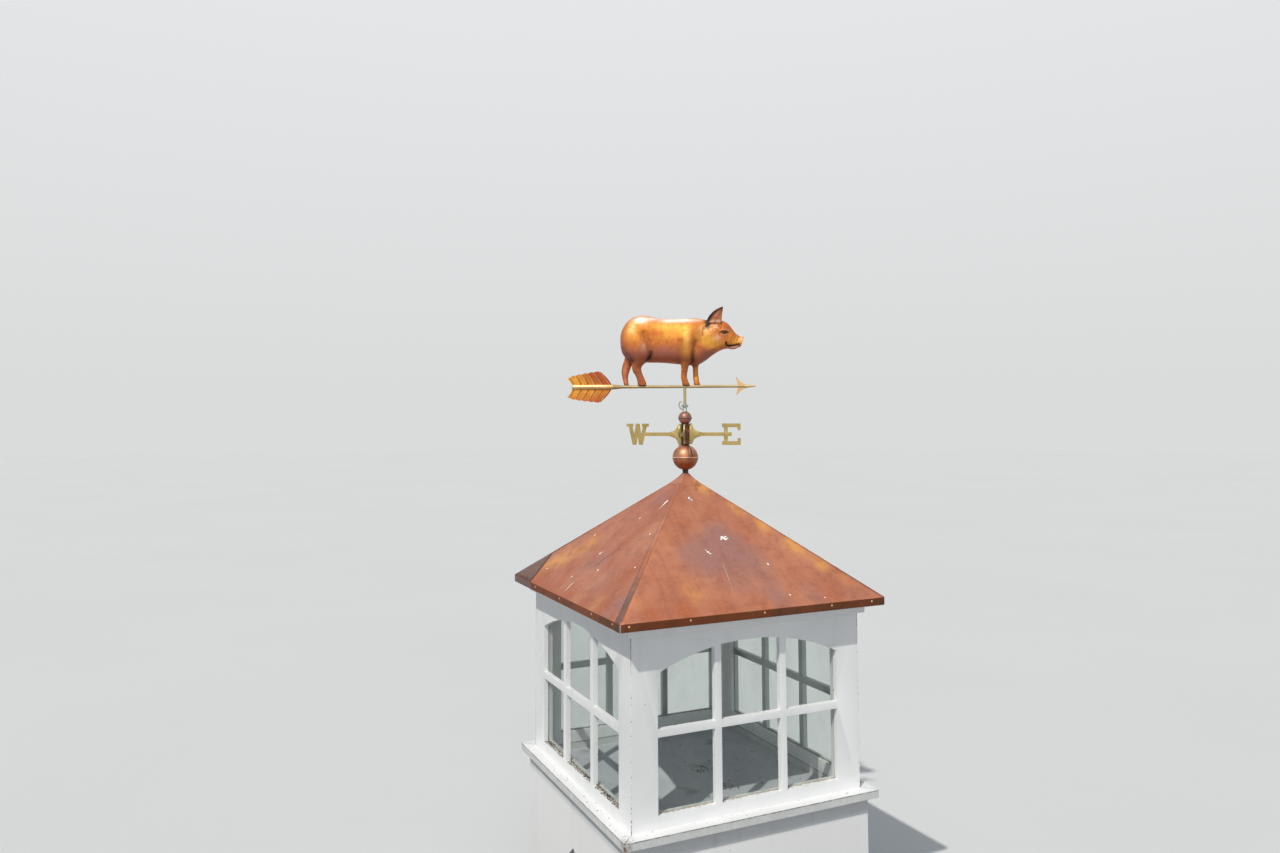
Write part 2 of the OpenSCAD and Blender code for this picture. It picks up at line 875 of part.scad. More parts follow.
base_front();
base_right();
base_back();
base_left();
floor_cleats();
floor_panel();
sill_front();
sill_right();
sill_back();
sill_left();
front_wall();
right_wall();
back_wall();
left_wall();
front_glass();
right_glass();
back_glass();
left_glass();
front_stop();
right_stop();
back_stop();
left_stop();
eave_moulding();
soffit_boards();
deck_front();
deck_right();
deck_back();
deck_left();
copper_front();
copper_right();
copper_back();
copper_left();
king_block();
mast_rod();
roof_collar();
globe_large();
compass_hub();
east_west_arms();
north_south_arms();
globe_small();
bearing_cup();
vane_stem();
arrow_shaft();
arrow_feathers();
arrow_head();
pig();
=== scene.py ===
"""Barn cupola with a pig weathervane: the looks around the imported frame, in metres."""
from functools import partial
from math import atan2, cos, degrees, hypot, pi, radians, sin, sqrt, tau
from random import Random

import bmesh
import bpy
import numpy as np
from mathutils import Matrix, Vector, noise


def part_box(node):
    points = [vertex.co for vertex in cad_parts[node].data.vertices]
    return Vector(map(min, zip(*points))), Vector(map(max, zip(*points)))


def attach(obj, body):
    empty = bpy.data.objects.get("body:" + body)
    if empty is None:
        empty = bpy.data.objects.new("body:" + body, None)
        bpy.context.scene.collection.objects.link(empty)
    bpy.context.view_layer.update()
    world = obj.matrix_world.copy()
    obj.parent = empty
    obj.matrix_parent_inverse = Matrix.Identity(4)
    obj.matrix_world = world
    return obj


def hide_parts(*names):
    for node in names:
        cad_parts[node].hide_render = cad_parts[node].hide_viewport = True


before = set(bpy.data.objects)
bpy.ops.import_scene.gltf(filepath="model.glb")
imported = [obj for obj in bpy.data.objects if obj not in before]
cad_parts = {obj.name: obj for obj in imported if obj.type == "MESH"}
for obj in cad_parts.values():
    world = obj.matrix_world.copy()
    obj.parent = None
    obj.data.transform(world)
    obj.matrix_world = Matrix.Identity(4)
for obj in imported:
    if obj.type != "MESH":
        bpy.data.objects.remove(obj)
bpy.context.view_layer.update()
mm = 0.001

# Sizes of the frame, read from its boxes or repeated from the CAD source
SIDES = ("front", "right", "back", "left")
SILL_LOW, SILL_TOP = (corner.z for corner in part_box("sill_front"))
WALL_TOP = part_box("soffit_boards")[0].z
WALL_OUT = -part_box("front_wall")[0].y
BOARD_T = 19 * mm
WALL_IN = WALL_OUT - BOARD_T
OPENING_LOW = SILL_TOP + 43 * mm
LIGHTS = ((-0.360, -0.144), (-0.118, 0.118), (0.144, 0.360))
MUNTIN_TOP = 0.9203
FLOOR_TOP = 0.5755
EAVE = -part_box("copper_front")[0].y
FASCIA = 27 * mm
RISE = 432 * mm
APEX = WALL_TOP + FASCIA + RISE
SLOPE = RISE / EAVE
COMPASS_YAW = radians(-35.5)
VANE_YAW = radians(-29)
ARROW_Z = 2060.3 * mm
ARROW_BACK = 467 * mm
SHAFT_R = 6.3 * mm


# Materials

def linear(colour):
    """An sRGB hex colour as linear RGBA."""
    parts = [int(colour[i:i + 2], 16) / 255 for i in (1, 3, 5)]
    return [c / 12.92 if c <= 0.04045 else ((c + 0.055) / 1.055) ** 2.4 for c in parts] + [1]


def add(tree, kind, sockets=None, **settings):
    """Adds a node with its settings, and with each socket set to a number, a hex colour or a link."""
    made = tree.nodes.new("ShaderNode" + kind)
    for name, value in settings.items():
        setattr(made, name, value)
    for name, value in (sockets or {}).items():
        named = [i for i in made.inputs if i.enabled and i.name == name]
        socket = named[0] if named else made.inputs[name]
        if isinstance(value, bpy.types.Node):
            value = next(o for o in value.outputs if o.enabled)
        if isinstance(value, bpy.types.NodeSocket):
            tree.links.new(value, socket)
        else:
            socket.default_value = linear(value) if isinstance(value, str) else value
    return made


class Coat:
    """A material in the making: its nodes, the coordinates that its patterns read, and its colour so far."""

    def __init__(self, name, colour=None, where="Object"):
        self.made = bpy.data.materials.new(name)
        self.made.use_nodes = True
        self.made.node_tree.nodes.clear()
        self.add = partial(add, self.made.node_tree)
        self.place = self.add("TexCoord").outputs[where]
        self.colour = colour

    def grain(self, size, depth, squeeze=(1, 1, 1), rough=0.5, shift=(0, 0, 0), **more):
        """A cloudy number with marks of a size in metres. A squeeze under 1 draws them out."""
        spot = self.add("Mapping", {"Vector": self.place, "Scale": squeeze, "Location": shift})
        return self.add("TexNoise", {"Vector": spot, "Scale": 1 / size, "Detail": depth, "Roughness": rough,
                                     **more})

    def patches(self, size, low=0.4, high=0.6, squeeze=(1, 1, 1), rough=0.55, depth=3.0, shift=0.0):
        """Cloudy areas about size metres across: 0 outside them and 1 inside."""
        cloud = self.grain(2 * size, depth, squeeze, rough, (shift, shift, shift))
        return self.add("MapRange", {"Value": cloud, "From Min": low, "From Max": high},
                        interpolation_type="SMOOTHSTEP")

    def specks(self, pitch, size, share):
        """Round spots of a size in metres in a share of the cells of a pitch: 1 inside them."""
        cells = self.add("TexVoronoi", {"Vector": self.place, "Scale": 1 / pitch}).outputs
        near = self.add("MapRange", {"Value": cells["Distance"], "From Min": size / pitch / 2,
                                     "From Max": size / pitch / 4})
        parts = self.add("SeparateColor", {"Color": cells["Color"]})
        return self.overlap(near, self.add("Math", {0: parts, 1: share}, operation="LESS_THAN"))

    def climb(self, where, low, high):
        """0 to 1 as a coordinate's Z goes from low to high. A Normal's Z is 1 where the surface faces up."""
        parts = self.add("SeparateXYZ", {"Vector": self.add("TexCoord").outputs[where]})
        return self.add("MapRange", {"Value": parts.outputs["Z"], "From Min": low, "From Max": high})

    def overlap(self, *shares):
        """The shares multiplied. One may come as (share, low, high), the two numbers that it runs between."""
        whole = None
        for share in shares:
            if isinstance(share, tuple):
                share = self.add("MapRange", dict(zip(("Value", "To Min", "To Max"), share)))
            whole = share if whole is None else self.add("Math", {0: whole, 1: share}, operation="MULTIPLY",
                                                         use_clamp=True)
        return whole

    def wash(self, tone, *shares):
        """Lays a tone over the colour so far, where all the shares overlap."""
        self.colour = self.add("Mix", {"Factor": self.overlap(*shares), "A": self.colour, "B": tone},
                               data_type="RGBA")

    def done(self, rough, metallic=0.0, relief=None, depth=0.2 * mm):
        """Puts the colour, the roughness and the relief on one Principled shader."""
        skin = {"Base Color": self.colour, "Roughness": self.overlap(rough), "Metallic": metallic}
        if relief is not None:
            skin["Normal"] = self.add("Bump", {"Height": relief, "Distance": depth, "Strength": 1.0})
        self.add("OutputMaterial", {"Surface": self.add("BsdfPrincipled", skin)})
        return self.made


def white_board(name, tones, grime, grime_share, speck_share, dusty=0.0, painted_shadow_under=None):
    """Cellular PVC trim board, planed and painted white: a low sheen, rain streaks and fly specks. Below a
    ledge at a given height, a grey band broken by the streaks is painted shadow."""
    coat = Coat(name, tones[0])
    coat.wash(tones[1], coat.patches(240 * mm, 0.35, 0.65))
    runs = coat.patches(26 * mm, 0.5, 0.78, squeeze=(1, 1, 0.06), depth=4.0)
    coat.wash(grime, runs, grime_share)
    soft = coat.patches(70 * mm, 0.52, 0.8, depth=6.0, rough=0.7, shift=3.0)
    coat.wash(tones[2], soft, grime_share * 0.9)
    on_ledges = coat.climb("Normal", 0.4, 0.8)
    coat.wash(grime, coat.patches(14 * mm, 0.45, 0.7, depth=5.0), on_ledges, 0.25 + dusty)
    # Painted shadow: grey from the ledge down to 44 mm below it, fading out by 66 mm, its strength varying
    # with the rain streaks
    if painted_shadow_under:
        painted_shadow = coat.climb("Object", painted_shadow_under - 66 * mm, painted_shadow_under - 44 * mm)
        coat.wash("#abafb3", painted_shadow, (runs, 0.55, 0.75))
    coat.wash("#4b4238", coat.specks(34 * mm, 4.5 * mm, speck_share), 0.8)
    return coat.done((soft, 0.42, 0.6), relief=coat.grain(5 * mm, 3.0, (1, 1, 0.25)), depth=0.12 * mm)


def edged_sill(name):
    """The sill's boards: the same board, its edge grey-green with lichen and its top washed clean."""
    coat = Coat(name, "#e7e8e7")
    coat.wash("#dfe0de", coat.patches(200 * mm, 0.35, 0.65))
    edge = coat.climb("Normal", 0.8, 0.4)
    film = coat.patches(14 * mm, 0.3, 0.6, squeeze=(1, 1, 0.5), depth=6.0, rough=0.75)
    coat.wash("#c3c5c1", edge, (film, 0.25, 0.65))
    coat.wash("#83857a", edge, coat.patches(4 * mm, 0.55, 0.68, depth=6.0, rough=0.8, shift=5.0), 0.45)
    # A dark band runs along the top few millimetres of the edge faces, just under the upper arris
    arris = coat.climb("Object", SILL_TOP - 6 * mm, SILL_TOP - 2 * mm)
    broken = coat.patches(9 * mm, 0.4, 0.6, depth=6.0, shift=1.5)
    coat.wash("#656258", arris, edge, (broken, 0.45, 1.0), 0.85)
    coat.wash("#55493c", coat.specks(30 * mm, 5.5 * mm, 0.2), 0.75)
    # Tannin from wet leaves has run out at the near mitre
    mitre = (-0.503, -0.503, SILL_TOP - 12 * mm)
    away = coat.add("VectorMath", {0: coat.place, 1: mitre}, operation="DISTANCE")
    stain = coat.add("MapRange", {"Value": away.outputs["Value"], "From Min": 34 * mm, "From Max": 6 * mm})
    coat.wash("#6d4a32", stain, coat.patches(9 * mm, 0.3, 0.6, depth=4.0))
    return coat.done((film, 0.4, 0.65), relief=film, depth=0.25 * mm)


def dusty_floor(name):
    """Painted plywood floor under dust: pale grey, with darker damp patches and crumbs."""
    coat = Coat(name, "#cfd1d8")
    coat.wash("#bbbdc5", coat.patches(180 * mm, 0.35, 0.62, depth=5.0))
    coat.wash("#77736c", coat.patches(60 * mm, 0.55, 0.7, depth=6.0, shift=7.0), 0.6)
    lines = coat.grain(4 * mm, 4.0, (0.04, 1, 1))
    coat.wash("#cbc8bd", lines, 0.25)
    coat.wash("#40372c", coat.specks(38 * mm, 9 * mm, 0.3))
    return coat.done(0.85, relief=lines, depth=0.5 * mm)


def softwood(name):
    """Raw construction plywood and blocks in the roof: straw-coloured with a stretched grain."""
    coat = Coat(name, "#c7a878")
    grain = coat.grain(6 * mm, 5.0, (1, 0.06, 1), Distortion=0.4)
    coat.wash("#9b7a4f", grain)
    coat.wash("#7f6a4e", coat.patches(120 * mm, 0.5, 0.75, depth=5.0), 0.5)
    return coat.done(0.8, relief=grain, depth=0.4 * mm)


def window_glass(name):
    """Float glass: clear, a mirror at grazing angles, with a film of dust that rain has spotted."""
    coat = Coat(name)
    film = coat.patches(90 * mm, 0.35, 0.75, squeeze=(1, 1, 0.5), depth=6.0, rough=0.65)
    drops = coat.overlap(coat.specks(16 * mm, 4 * mm, 0.35), 0.4)
    share = coat.add("Math", {0: coat.overlap((film, 0.0, 0.05)), 1: drops}, operation="ADD", use_clamp=True)
    dust = coat.add("BsdfDiffuse", {"Color": "#a5a89f"})
    clear = coat.add("BsdfTransparent", {"Color": "#fbfdfc"})
    mirror = coat.add("BsdfGlossy", {"Color": "#8d9294", "Roughness": 0.03})
    # Glass mirrors more as the view slants, the same from both faces of the pane
    slant = coat.add("LayerWeight", {"Blend": 0.5}).outputs["Facing"]
    steep = coat.add("Math", {0: slant, 1: 5.0}, operation="POWER")
    shine = coat.add("MapRange", {"Value": steep, "To Min": 0.035})
    pane = coat.add("MixShader", {0: shine, 1: clear, 2: mirror})
    coat.add("OutputMaterial", {"Surface": coat.add("MixShader", {0: share, 1: pane, 2: dust})})
    return coat.made


def roof_copper(name, tones, rough, metallic):
    """Cold-rolled copper sheet some years out in the rain: soft orange-brown oxide with darker runs down the
    slope. Painted fields turn it gold, red, mauve or grey, and dark along a seam, partly dirt and partly a
    painted shadow line at the laps' edges. UVs are in metres."""
    coat = Coat(name, tones[0], "UV")
    broad = coat.patches(130 * mm, 0.34, 0.64, depth=4.0, rough=0.6)
    coat.wash(tones[1], broad)
    coat.wash(tones[2], coat.patches(20 * mm, 0.48, 0.74, squeeze=(1, 0.12, 1), depth=6.0, rough=0.65), 0.4)
    for field, tone, size, most in zip(("gold", "red", "mauve", "tarnish", "seam"), tones[3:],
                                       (60, 55, 45, 25, 8), (0.8, 0.75, 0.75, 0.95, 0.85)):
        cloud = coat.grain(2 * size * mm, 5.0, rough=0.62, shift=(size, 0, 0))
        painted = coat.add("Attribute", attribute_name=field).outputs["Fac"]
        ragged = coat.add("Math", {0: painted, 1: cloud}, operation="ADD")
        spread = {"Value": ragged, "From Min": 0.62, "From Max": 1.35, "To Max": most}
        coat.wash(tone, coat.add("MapRange", spread, interpolation_type="SMOOTHSTEP"))
    coat.wash(tones[2], coat.patches(26 * mm, 0.45, 0.7, depth=6.0, rough=0.72, shift=8.0), 0.5)
    fine = coat.patches(5 * mm, 0.42, 0.7, depth=6.0, rough=0.75, shift=2.0)
    coat.wash(tones[0], fine, 0.4)
    return coat.done((broad, rough, rough + 0.12), metallic, fine, 0.12 * mm)


def spun_copper(name, tones, rough=0.42, size=30 * mm):
    """Spun copper with a brown-red oxide, rosy and blotched: its lower faces are painted darker as shade, and
    blotched darker there.
    """
    coat = Coat(name, tones[0])
    coat.wash(tones[1], coat.patches(size, 0.36, 0.62, depth=5.0, rough=0.6))
    # Painted shade: the faces that turn downwards are washed darker
    under = coat.climb("Normal", 0.2, -0.5)
    coat.wash(tones[2], under)
    blotches = coat.patches(size * 0.4, 0.5, 0.68, depth=6.0, rough=0.7, shift=6.0)
    coat.wash(tones[3], blotches, (under, 0.25, 0.8))
    return coat.done((blotches, rough, rough + 0.12), 0.6, coat.grain(2.5 * mm, 4.0), 0.08 * mm)


def chased_copper(name, plain, fields, rough, metallic):
    """Hammered copper with a heat-tinted, waxed finish: a satin skin, orange mottled with red. Painted fields
    turn it gold, red or plum, lay painted highlights on it, and darken it black-brown: patina in the tool
    marks, and painted shade."""
    coat = Coat(name, plain[0])
    coat.wash(plain[1], coat.patches(30 * mm, 0.34, 0.66, depth=5.0, rough=0.62))
    flecks = coat.patches(8 * mm, 0.45, 0.66, depth=6.0, rough=0.7, shift=6.0)
    coat.wash(plain[2], flecks, 0.35)
    ragged = coat.grain(22 * mm, 6.0, rough=0.68)
    for field, tone, lean in fields:
        painted = coat.add("Attribute", attribute_name=field).outputs["Fac"]
        coat.wash(tone, painted, (ragged, 1 - 1.4 * lean, 1 + 1.4 * lean))
    # Hair strokes of the chasing tool run down the flanks, with the darker tint left in them
    hair = coat.grain(5 * mm, 3.0, (1, 1, 0.22))
    tint = coat.add("MapRange", {"Value": hair, "From Min": 0.5, "From Max": 0.68, "To Max": 0.35})
    coat.wash(plain[2], tint)
    hammer = coat.add("TexVoronoi", {"Vector": coat.place, "Scale": 1 / (9 * mm), "Smoothness": 0.8},
                      feature="SMOOTH_F1")
    relief = coat.add("Math", {0: hammer, 1: hair}, operation="ADD")
    return coat.done((flecks, rough, rough + 0.13), metallic, relief, 0.3 * mm)


def cast_metal(name, tones, rough, metallic, spot=14 * mm, grain_size=1.6 * mm, grain_depth=0.2 * mm):
    """Sand-cast metal: a pitted skin, duller in the hollows and mottled by weather. Tubes are smoother."""
    coat = Coat(name, tones[0])
    coat.wash(tones[1], coat.patches(spot * 2, 0.36, 0.64, depth=4.0))
    coat.wash(tones[2], coat.patches(spot, 0.55, 0.68, depth=6.0, rough=0.7, shift=9.0), 0.75)
    pits = coat.grain(grain_size, 4.0, rough=0.7)
    return coat.done((pits, rough - 0.1, rough + 0.15), metallic, pits, grain_depth)


def plain_matt(name, one, other, size):
    """Dull loose matter, such as droppings, sealant and leaf crumbs, in two tones."""
    coat = Coat(name, one)
    spread = coat.patches(size, 0.4, 0.6, depth=5.0, rough=0.7)
    coat.wash(other, spread)
    return coat.done(0.8, relief=spread, depth=0.3 * mm)


BOARD = white_board("weathered_white_board", ("#f0f0ef", "#e9eae9", "#d8d9d3"), "#bfc0b7", 0.12, 0.07)
BASE = white_board("base_white_board", ("#f3f3f1", "#efefed", "#e2e2df"), "#c9c9c4", 0.08, 0.03,
                   painted_shadow_under=SILL_LOW)
INNER = white_board("dusty_inner_frame", ("#f4f4f2", "#ececea", "#d6d5ce"), "#b2afa4", 0.3, 0.2, 0.3)
SILL = edged_sill("edge_stained_sill")
FLOOR = dusty_floor("dusty_floor")
WOOD = softwood("raw_softwood")
GLASS = window_glass("dusty_float_glass")
SHEET = roof_copper("weathered_sheet_copper", (
    "#c68262", "#b06c52", "#8e5440", "#e8a352", "#ae5c36", "#96716f", "#5b504f", "#38211b"), 0.42, 0.6)
# The folded edges take the same copper painted far darker: painted shade, and a painted reflection of dark
# surroundings
EDGE_PAINTED_DARK = roof_copper("folded_edge_copper_painted_dark", (
    "#723909", "#5b2b06", "#3c1e07", "#98560f", "#78350a", "#5a3820", "#40352b", "#25150f"), 0.55, 0.25)
GLOBE = spun_copper("spun_globe_copper", ("#bb8262", "#985f47", "#9e5634", "#6b3620"))
SMALL = spun_copper("small_globe_copper", ("#aa7d6b", "#906656", "#ad6c5f", "#7a463b"), size=18 * mm)
BRIGHT = spun_copper("rubbed_copper", ("#efcdae", "#e2b794", "#d6a683", "#b87c55"), 0.34)
HUB = cast_metal("blotched_bronze_casting", ("#6b4335", "#33201a", "#cdb49f"), 0.42, 0.6, 11 * mm)
STEEL = cast_metal("zinc_grey_steel", ("#bcbdba", "#929390", "#464640"), 0.4, 0.7, 8 * mm)
COLLAR = cast_metal("tarnished_collar", ("#382d25", "#271f1a", "#57463a"), 0.5, 0.5)
LETTER = cast_metal("weathered_cast_brass", ("#b19b61", "#a28c51", "#8e7a51"), 0.48, 0.5)
TUBE_GRAIN = (3 * mm, 0.05 * mm)
SHAFT = cast_metal("worn_brass_tube", ("#d2b181", "#c29c66", "#a27b4a"), 0.36, 0.7, 20 * mm, *TUBE_GRAIN)
DULL_SHAFT = cast_metal("weathered_brass_tube", ("#b29e70", "#9f8b5f", "#86724b"), 0.45, 0.55, 20 * mm,
                        *TUBE_GRAIN)
STEM = cast_metal("pale_brass_rod", ("#cbba8e", "#b9a575", "#92805b"), 0.42, 0.5, 14 * mm, *TUBE_GRAIN)
SOLDER = cast_metal("dull_solder", ("#d3cfc7", "#c1bcb3", "#9d978e"), 0.45, 0.5, 8 * mm, 2 * mm, 0.1 * mm)
WIRE = cast_metal("galvanised_wire", ("#bcc2c1", "#a1a7a6", "#767c7a"), 0.4, 0.6, 6 * mm, 2 * mm, 0.05 * mm)
PIG = chased_copper("chased_figure_copper", ("#d88233", "#c66f2f", "#a6562b"), (
    ("red", "#c25a28", 0.5), ("gold", "#e6a440", 0.45), ("plum", "#b46f5c", 0.35), ("painted_highlight", "#fff0dc", 0.25),
    ("dark", "#351d16", 0.1)), 0.58, 0.55)
FEATHER = chased_copper("heat_tinted_feather_copper", ("#bb6625", "#a3511f", "#88421f"), (
    ("red", "#ac4828", 0.5), ("gold", "#e6a034", 0.5), ("painted_highlight", "#eeb470", 0.3),
    ("dark", "#5c260a", 0.1)), 0.44, 0.6)
# Dirt in joints; also laid on as painted shadow, as the ring under each globe's rim and the widened corner
# lines under the eave
JOINT_DIRT_AND_SHADE = plain_matt("joint_dirt_and_painted_shade", "#2c2722", "#433a31", 4 * mm)
DROPPING = plain_matt("dried_dropping", "#fbf9f5", "#dfdad0", 6 * mm)
SEALANT = plain_matt("aged_sealant", "#bcb297", "#8a8070", 8 * mm)
LITTER = plain_matt("leaf_crumbs", "#766a5b", "#2b2621", 4 * mm)


# Shapes

def mesh_from(name, bm):
    """A bmesh as a mesh. The bmesh is used up."""
    mesh = bpy.data.meshes.new(name)
    bm.to_mesh(mesh)
    bm.free()
    return mesh


def stand(name, data):
    """An object of the scene that shows some data."""
    made = bpy.data.objects.new(name, data)
    bpy.context.scene.collection.objects.link(made)
    return made


def settle(name, bm, material, node=None, smooth=30, body="cupola", thick=0):
    """Turns a bmesh into a piece that rides on a body, smooth but for edges sharper than smooth degrees. A
    single skin is made thick inwards."""
    mesh = mesh_from(name, bm)
    if smooth:
        mesh.shade_smooth()
        mesh.set_sharp_from_angle(angle=radians(smooth))
    for one in material if isinstance(material, list) else [material]:
        mesh.materials.append(one)
    piece = stand(name, mesh)
    if thick:
        sheet = piece.modifiers.new("sheet", "SOLIDIFY")
        sheet.thickness = thick
        sheet.offset = -1
    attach(piece, body)
    if node:
        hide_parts(node)
    return piece


def points_of(mesh):
    """A mesh's points, one in each row."""
    flat = np.empty(len(mesh.vertices) * 3)
    mesh.vertices.foreach_get("co", flat)
    return flat.reshape(-1, 3)


def paint(mesh, field, values):
    """Gives a mesh's points a field that its material reads."""
    mesh.attributes.new(field, "FLOAT", "POINT").data.foreach_set("value", values)


def round_off(bm, edges, radius):
    bmesh.ops.bevel(bm, geom=edges, offset=radius, offset_type="OFFSET", affect="EDGES", segments=2,
                    profile=0.5, material=-1, clamp_overlap=True)


def eased(node, radius, material, body="cupola", spare=None):
    """A CAD node's own shape with its sharp edges rounded, as a router or wear leaves them."""
    bm = bmesh.new()
    bm.from_mesh(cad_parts[node].data)
    bmesh.ops.remove_doubles(bm, verts=bm.verts, dist=1e-6)
    bmesh.ops.dissolve_limit(bm, angle_limit=radians(0.5), verts=bm.verts, edges=bm.edges)
    sharp = [e for e in bm.edges if len(e.link_faces) == 2 and e.calc_face_angle() > radians(28)]
    round_off(bm, [e for e in sharp if not (spare and spare(e))], radius)
    return settle(node + "_eased", bm, material, node, 20, body)


def laid(columns, rows, place, weld=1e-6):
    """A net of columns by rows quads. place(i, j) gives each point, or its point and its UV in metres."""
    bm = bmesh.new()
    bmesh.ops.create_grid(bm, x_segments=columns, y_segments=rows, size=1)
    layer = bm.loops.layers.uv.new("UVMap")
    for vert in bm.verts:
        spot = place(round((vert.co.x + 1) / 2 * columns), round((vert.co.y + 1) / 2 * rows))
        vert.co, uv = spot if len(spot) == 2 else (spot, (0, 0))
        for loop in vert.link_loops:
            loop[layer].uv = uv
    if weld:
        bmesh.ops.remove_doubles(bm, verts=bm.verts, dist=weld)
        bmesh.ops.dissolve_degenerate(bm, edges=bm.edges, dist=weld)
        bmesh.ops.recalc_face_normals(bm, faces=bm.faces)
    return bm


def turned(bm, side):
    """Turns a shape made for the front to another side."""
    bmesh.ops.rotate(bm, verts=bm.verts, matrix=Matrix.Rotation(side * pi / 2, 3, "Z"))
    return bm


def round_to(side, x, out, z):
    """A point beside the front at x, taken to the same place of another side."""
    return Matrix.Rotation(side * pi / 2, 3, "Z") @ Vector((x, -out, z))


def seat(point, normal):
    """The place of a small thing that sits at a point and faces along a normal."""
    return Matrix.Translation(point) @ Vector(normal).to_track_quat("Z", "Y").to_matrix().to_4x4()


def merged(parts):
    """Several bmeshes as one."""
    whole = parts[0]
    for part in parts[1:]:
        mesh = mesh_from("part", part)
        whole.from_mesh(mesh)
        bpy.data.meshes.remove(mesh)
    return whole


def spun(profile):
    """A closed outline of radius and height pairs, spun once round Z."""
    bm = bmesh.new()
    verts = [bm.verts.new((r, 0, z)) for r, z in profile]
    edges = [bm.edges.new((a, b)) for a, b in zip(verts, verts[1:] + verts[:1])]
    bmesh.ops.spin(bm, geom=verts + edges, cent=(0, 0, 0), axis=(0, 0, 1), angle=tau, steps=96,
                   use_merge=True)
    bmesh.ops.remove_doubles(bm, verts=bm.verts, dist=1e-6)
    bmesh.ops.dissolve_degenerate(bm, edges=bm.edges, dist=1e-7)
    bmesh.ops.recalc_face_normals(bm, faces=bm.faces)
    return bm


def row_between(rows, at):
    """A row between two rows of a table, on a smooth curve through them all."""
    k = min(int(at), len(rows) - 2)
    t = at - k
    a, b, c, d = (np.array(rows[max(0, min(len(rows) - 1, k + n))], float) for n in (-1, 0, 1, 2))
    doubled = 2 * b + (c - a) * t + (2 * a - 5 * b + 4 * c - d) * t * t + (3 * b - a - 3 * c + d) * t ** 3
    return 0.5 * doubled


def skinned(around, count, ring_point, weld):
    """A closed skin over rings, with both ends filled. ring_point gives a point for an angle and a ring."""
    bm = laid(around, count, lambda i, j: ring_point(tau * (i % around) / around, j), weld)
    bmesh.ops.holes_fill(bm, edges=[e for e in bm.edges if e.is_boundary], sides=around)
    bmesh.ops.recalc_face_normals(bm, faces=bm.faces)
    return bm


def tube(path, radius_at, around, squash=1.0, steps=6):
    """A closed tube along a smooth curve through the path's points. Squash flattens it upwards."""
    count = (len(path) - 1) * steps
    spine = [Vector(row_between([list(p) for p in path], k / steps)) for k in range(count + 1)]

    def ring_point(angle, j):
        ahead = (spine[min(count, j + 1)] - spine[max(0, j - 1)]).normalized()
        side = ahead.cross(Vector((0, 0, 1)) if abs(ahead.z) < 0.9 else Vector((0, 1, 0))).normalized()
        reach = radius_at(j / count)
        return spine[j] + side * cos(angle) * reach + side.cross(ahead) * sin(angle) * reach * squash
    return skinned(around, count, ring_point, 1e-7)


# Boards

def filled_joint(edge):
    """The line where two boards meet beside a corner: filled and painted over, so it keeps no eased edge."""
    flat = [sorted((abs(v.co.x), abs(v.co.y))) for v in edge.verts]
    upright = abs(edge.verts[0].co.z - edge.verts[1].co.z) > 0.1
    return upright and all(abs(b - a - BOARD_T) < 0.1 * mm for a, b in flat)


for side in SIDES:
    eased(f"base_{side}", 1.5 * mm, BASE, spare=filled_joint)
    eased(f"sill_{side}", 1.0 * mm, SILL)
    eased(f"{side}_wall", 1.5 * mm, BOARD, spare=filled_joint)
    eased(f"{side}_stop", 1.2 * mm, INNER)
eased("eave_moulding", 1.5 * mm, BOARD)
eased("soffit_boards", 1 * mm, BOARD)
eased("floor_panel", 1 * mm, FLOOR)

for material, nodes in (
    (GLASS, [f"{side}_glass" for side in SIDES]),
    (WOOD, [f"deck_{side}" for side in SIDES] + ["king_block", "floor_cleats"]),
    (STEEL, ["mast_rod"]),
):
    for node in nodes:
        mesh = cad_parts[node].data
        mesh.materials.clear()
        mesh.materials.append(material)


# Roof

SHEET_OUT = EAVE - 0.9 * mm
SHEET_LOW = APEX - SLOPE * SHEET_OUT
RUN = sqrt(1 + SLOPE * SLOPE)
# The copper's pattern shifts by this from side to side, and goes on from here down the folded edge
SIDE_SHIFT = 2.3
FOLD_START = 0.69
# The dog-ear starts this far out, and at the eave it has widened by this many millimetres
DOG_EAR_START = 0.405
DOG_EAR = 190


def roof_point(x, out, lift=0.0):
    """A point of the front slope, out metres from the axis and lift over the sheet."""
    return Vector((x, -out - lift * SLOPE / RUN, APEX - SLOPE * out + lift / RUN))


def pattern(side, x, down):
    """A point's UV, in metres down the sheet. Each side has a stretch of the pattern to itself."""
    return x + SIDE_SHIFT * side, down


def fold_pattern(side, x, z):
    return pattern(side, x, FOLD_START + SHEET_LOW - z)


def sheet_dents(x, out, side):
    """Hand-dressed sheet is never flat: dents just under a millimetre deep that die out at the seams."""
    inside = min(1, max(0, (out - abs(x)) / 0.04)) * min(1, max(0, (SHEET_OUT - out) / 0.04))
    broad = noise.noise(Vector((x * 7, out * 7, side * 9.3)))
    small = noise.noise(Vector((x * 19, out * 19, side * 5.1)))
    return -inside * min(0.9, max(0, 0.42 + broad * 0.55 + small * 0.2)) * mm


# The pan in section: down the slope, over the eave, down the folded edge and in under it
section = [(0.006 + (SHEET_OUT - 0.0074) * j / 56, None) for j in range(57)]
section += [(SHEET_OUT - 0.3 * mm, SHEET_LOW - 0.2 * mm), (SHEET_OUT, SHEET_LOW - 1.4 * mm)]
section += [(SHEET_OUT, SHEET_LOW - (1.4 + 22 * k / 5) * mm) for k in range(1, 6)]
section += [(SHEET_OUT - 0.3 * mm, WALL_TOP + 1.2 * mm), (SHEET_OUT - 2 * mm, WALL_TOP + 0.6 * mm),
            (SHEET_OUT - 9 * mm, WALL_TOP + 0.7 * mm)]

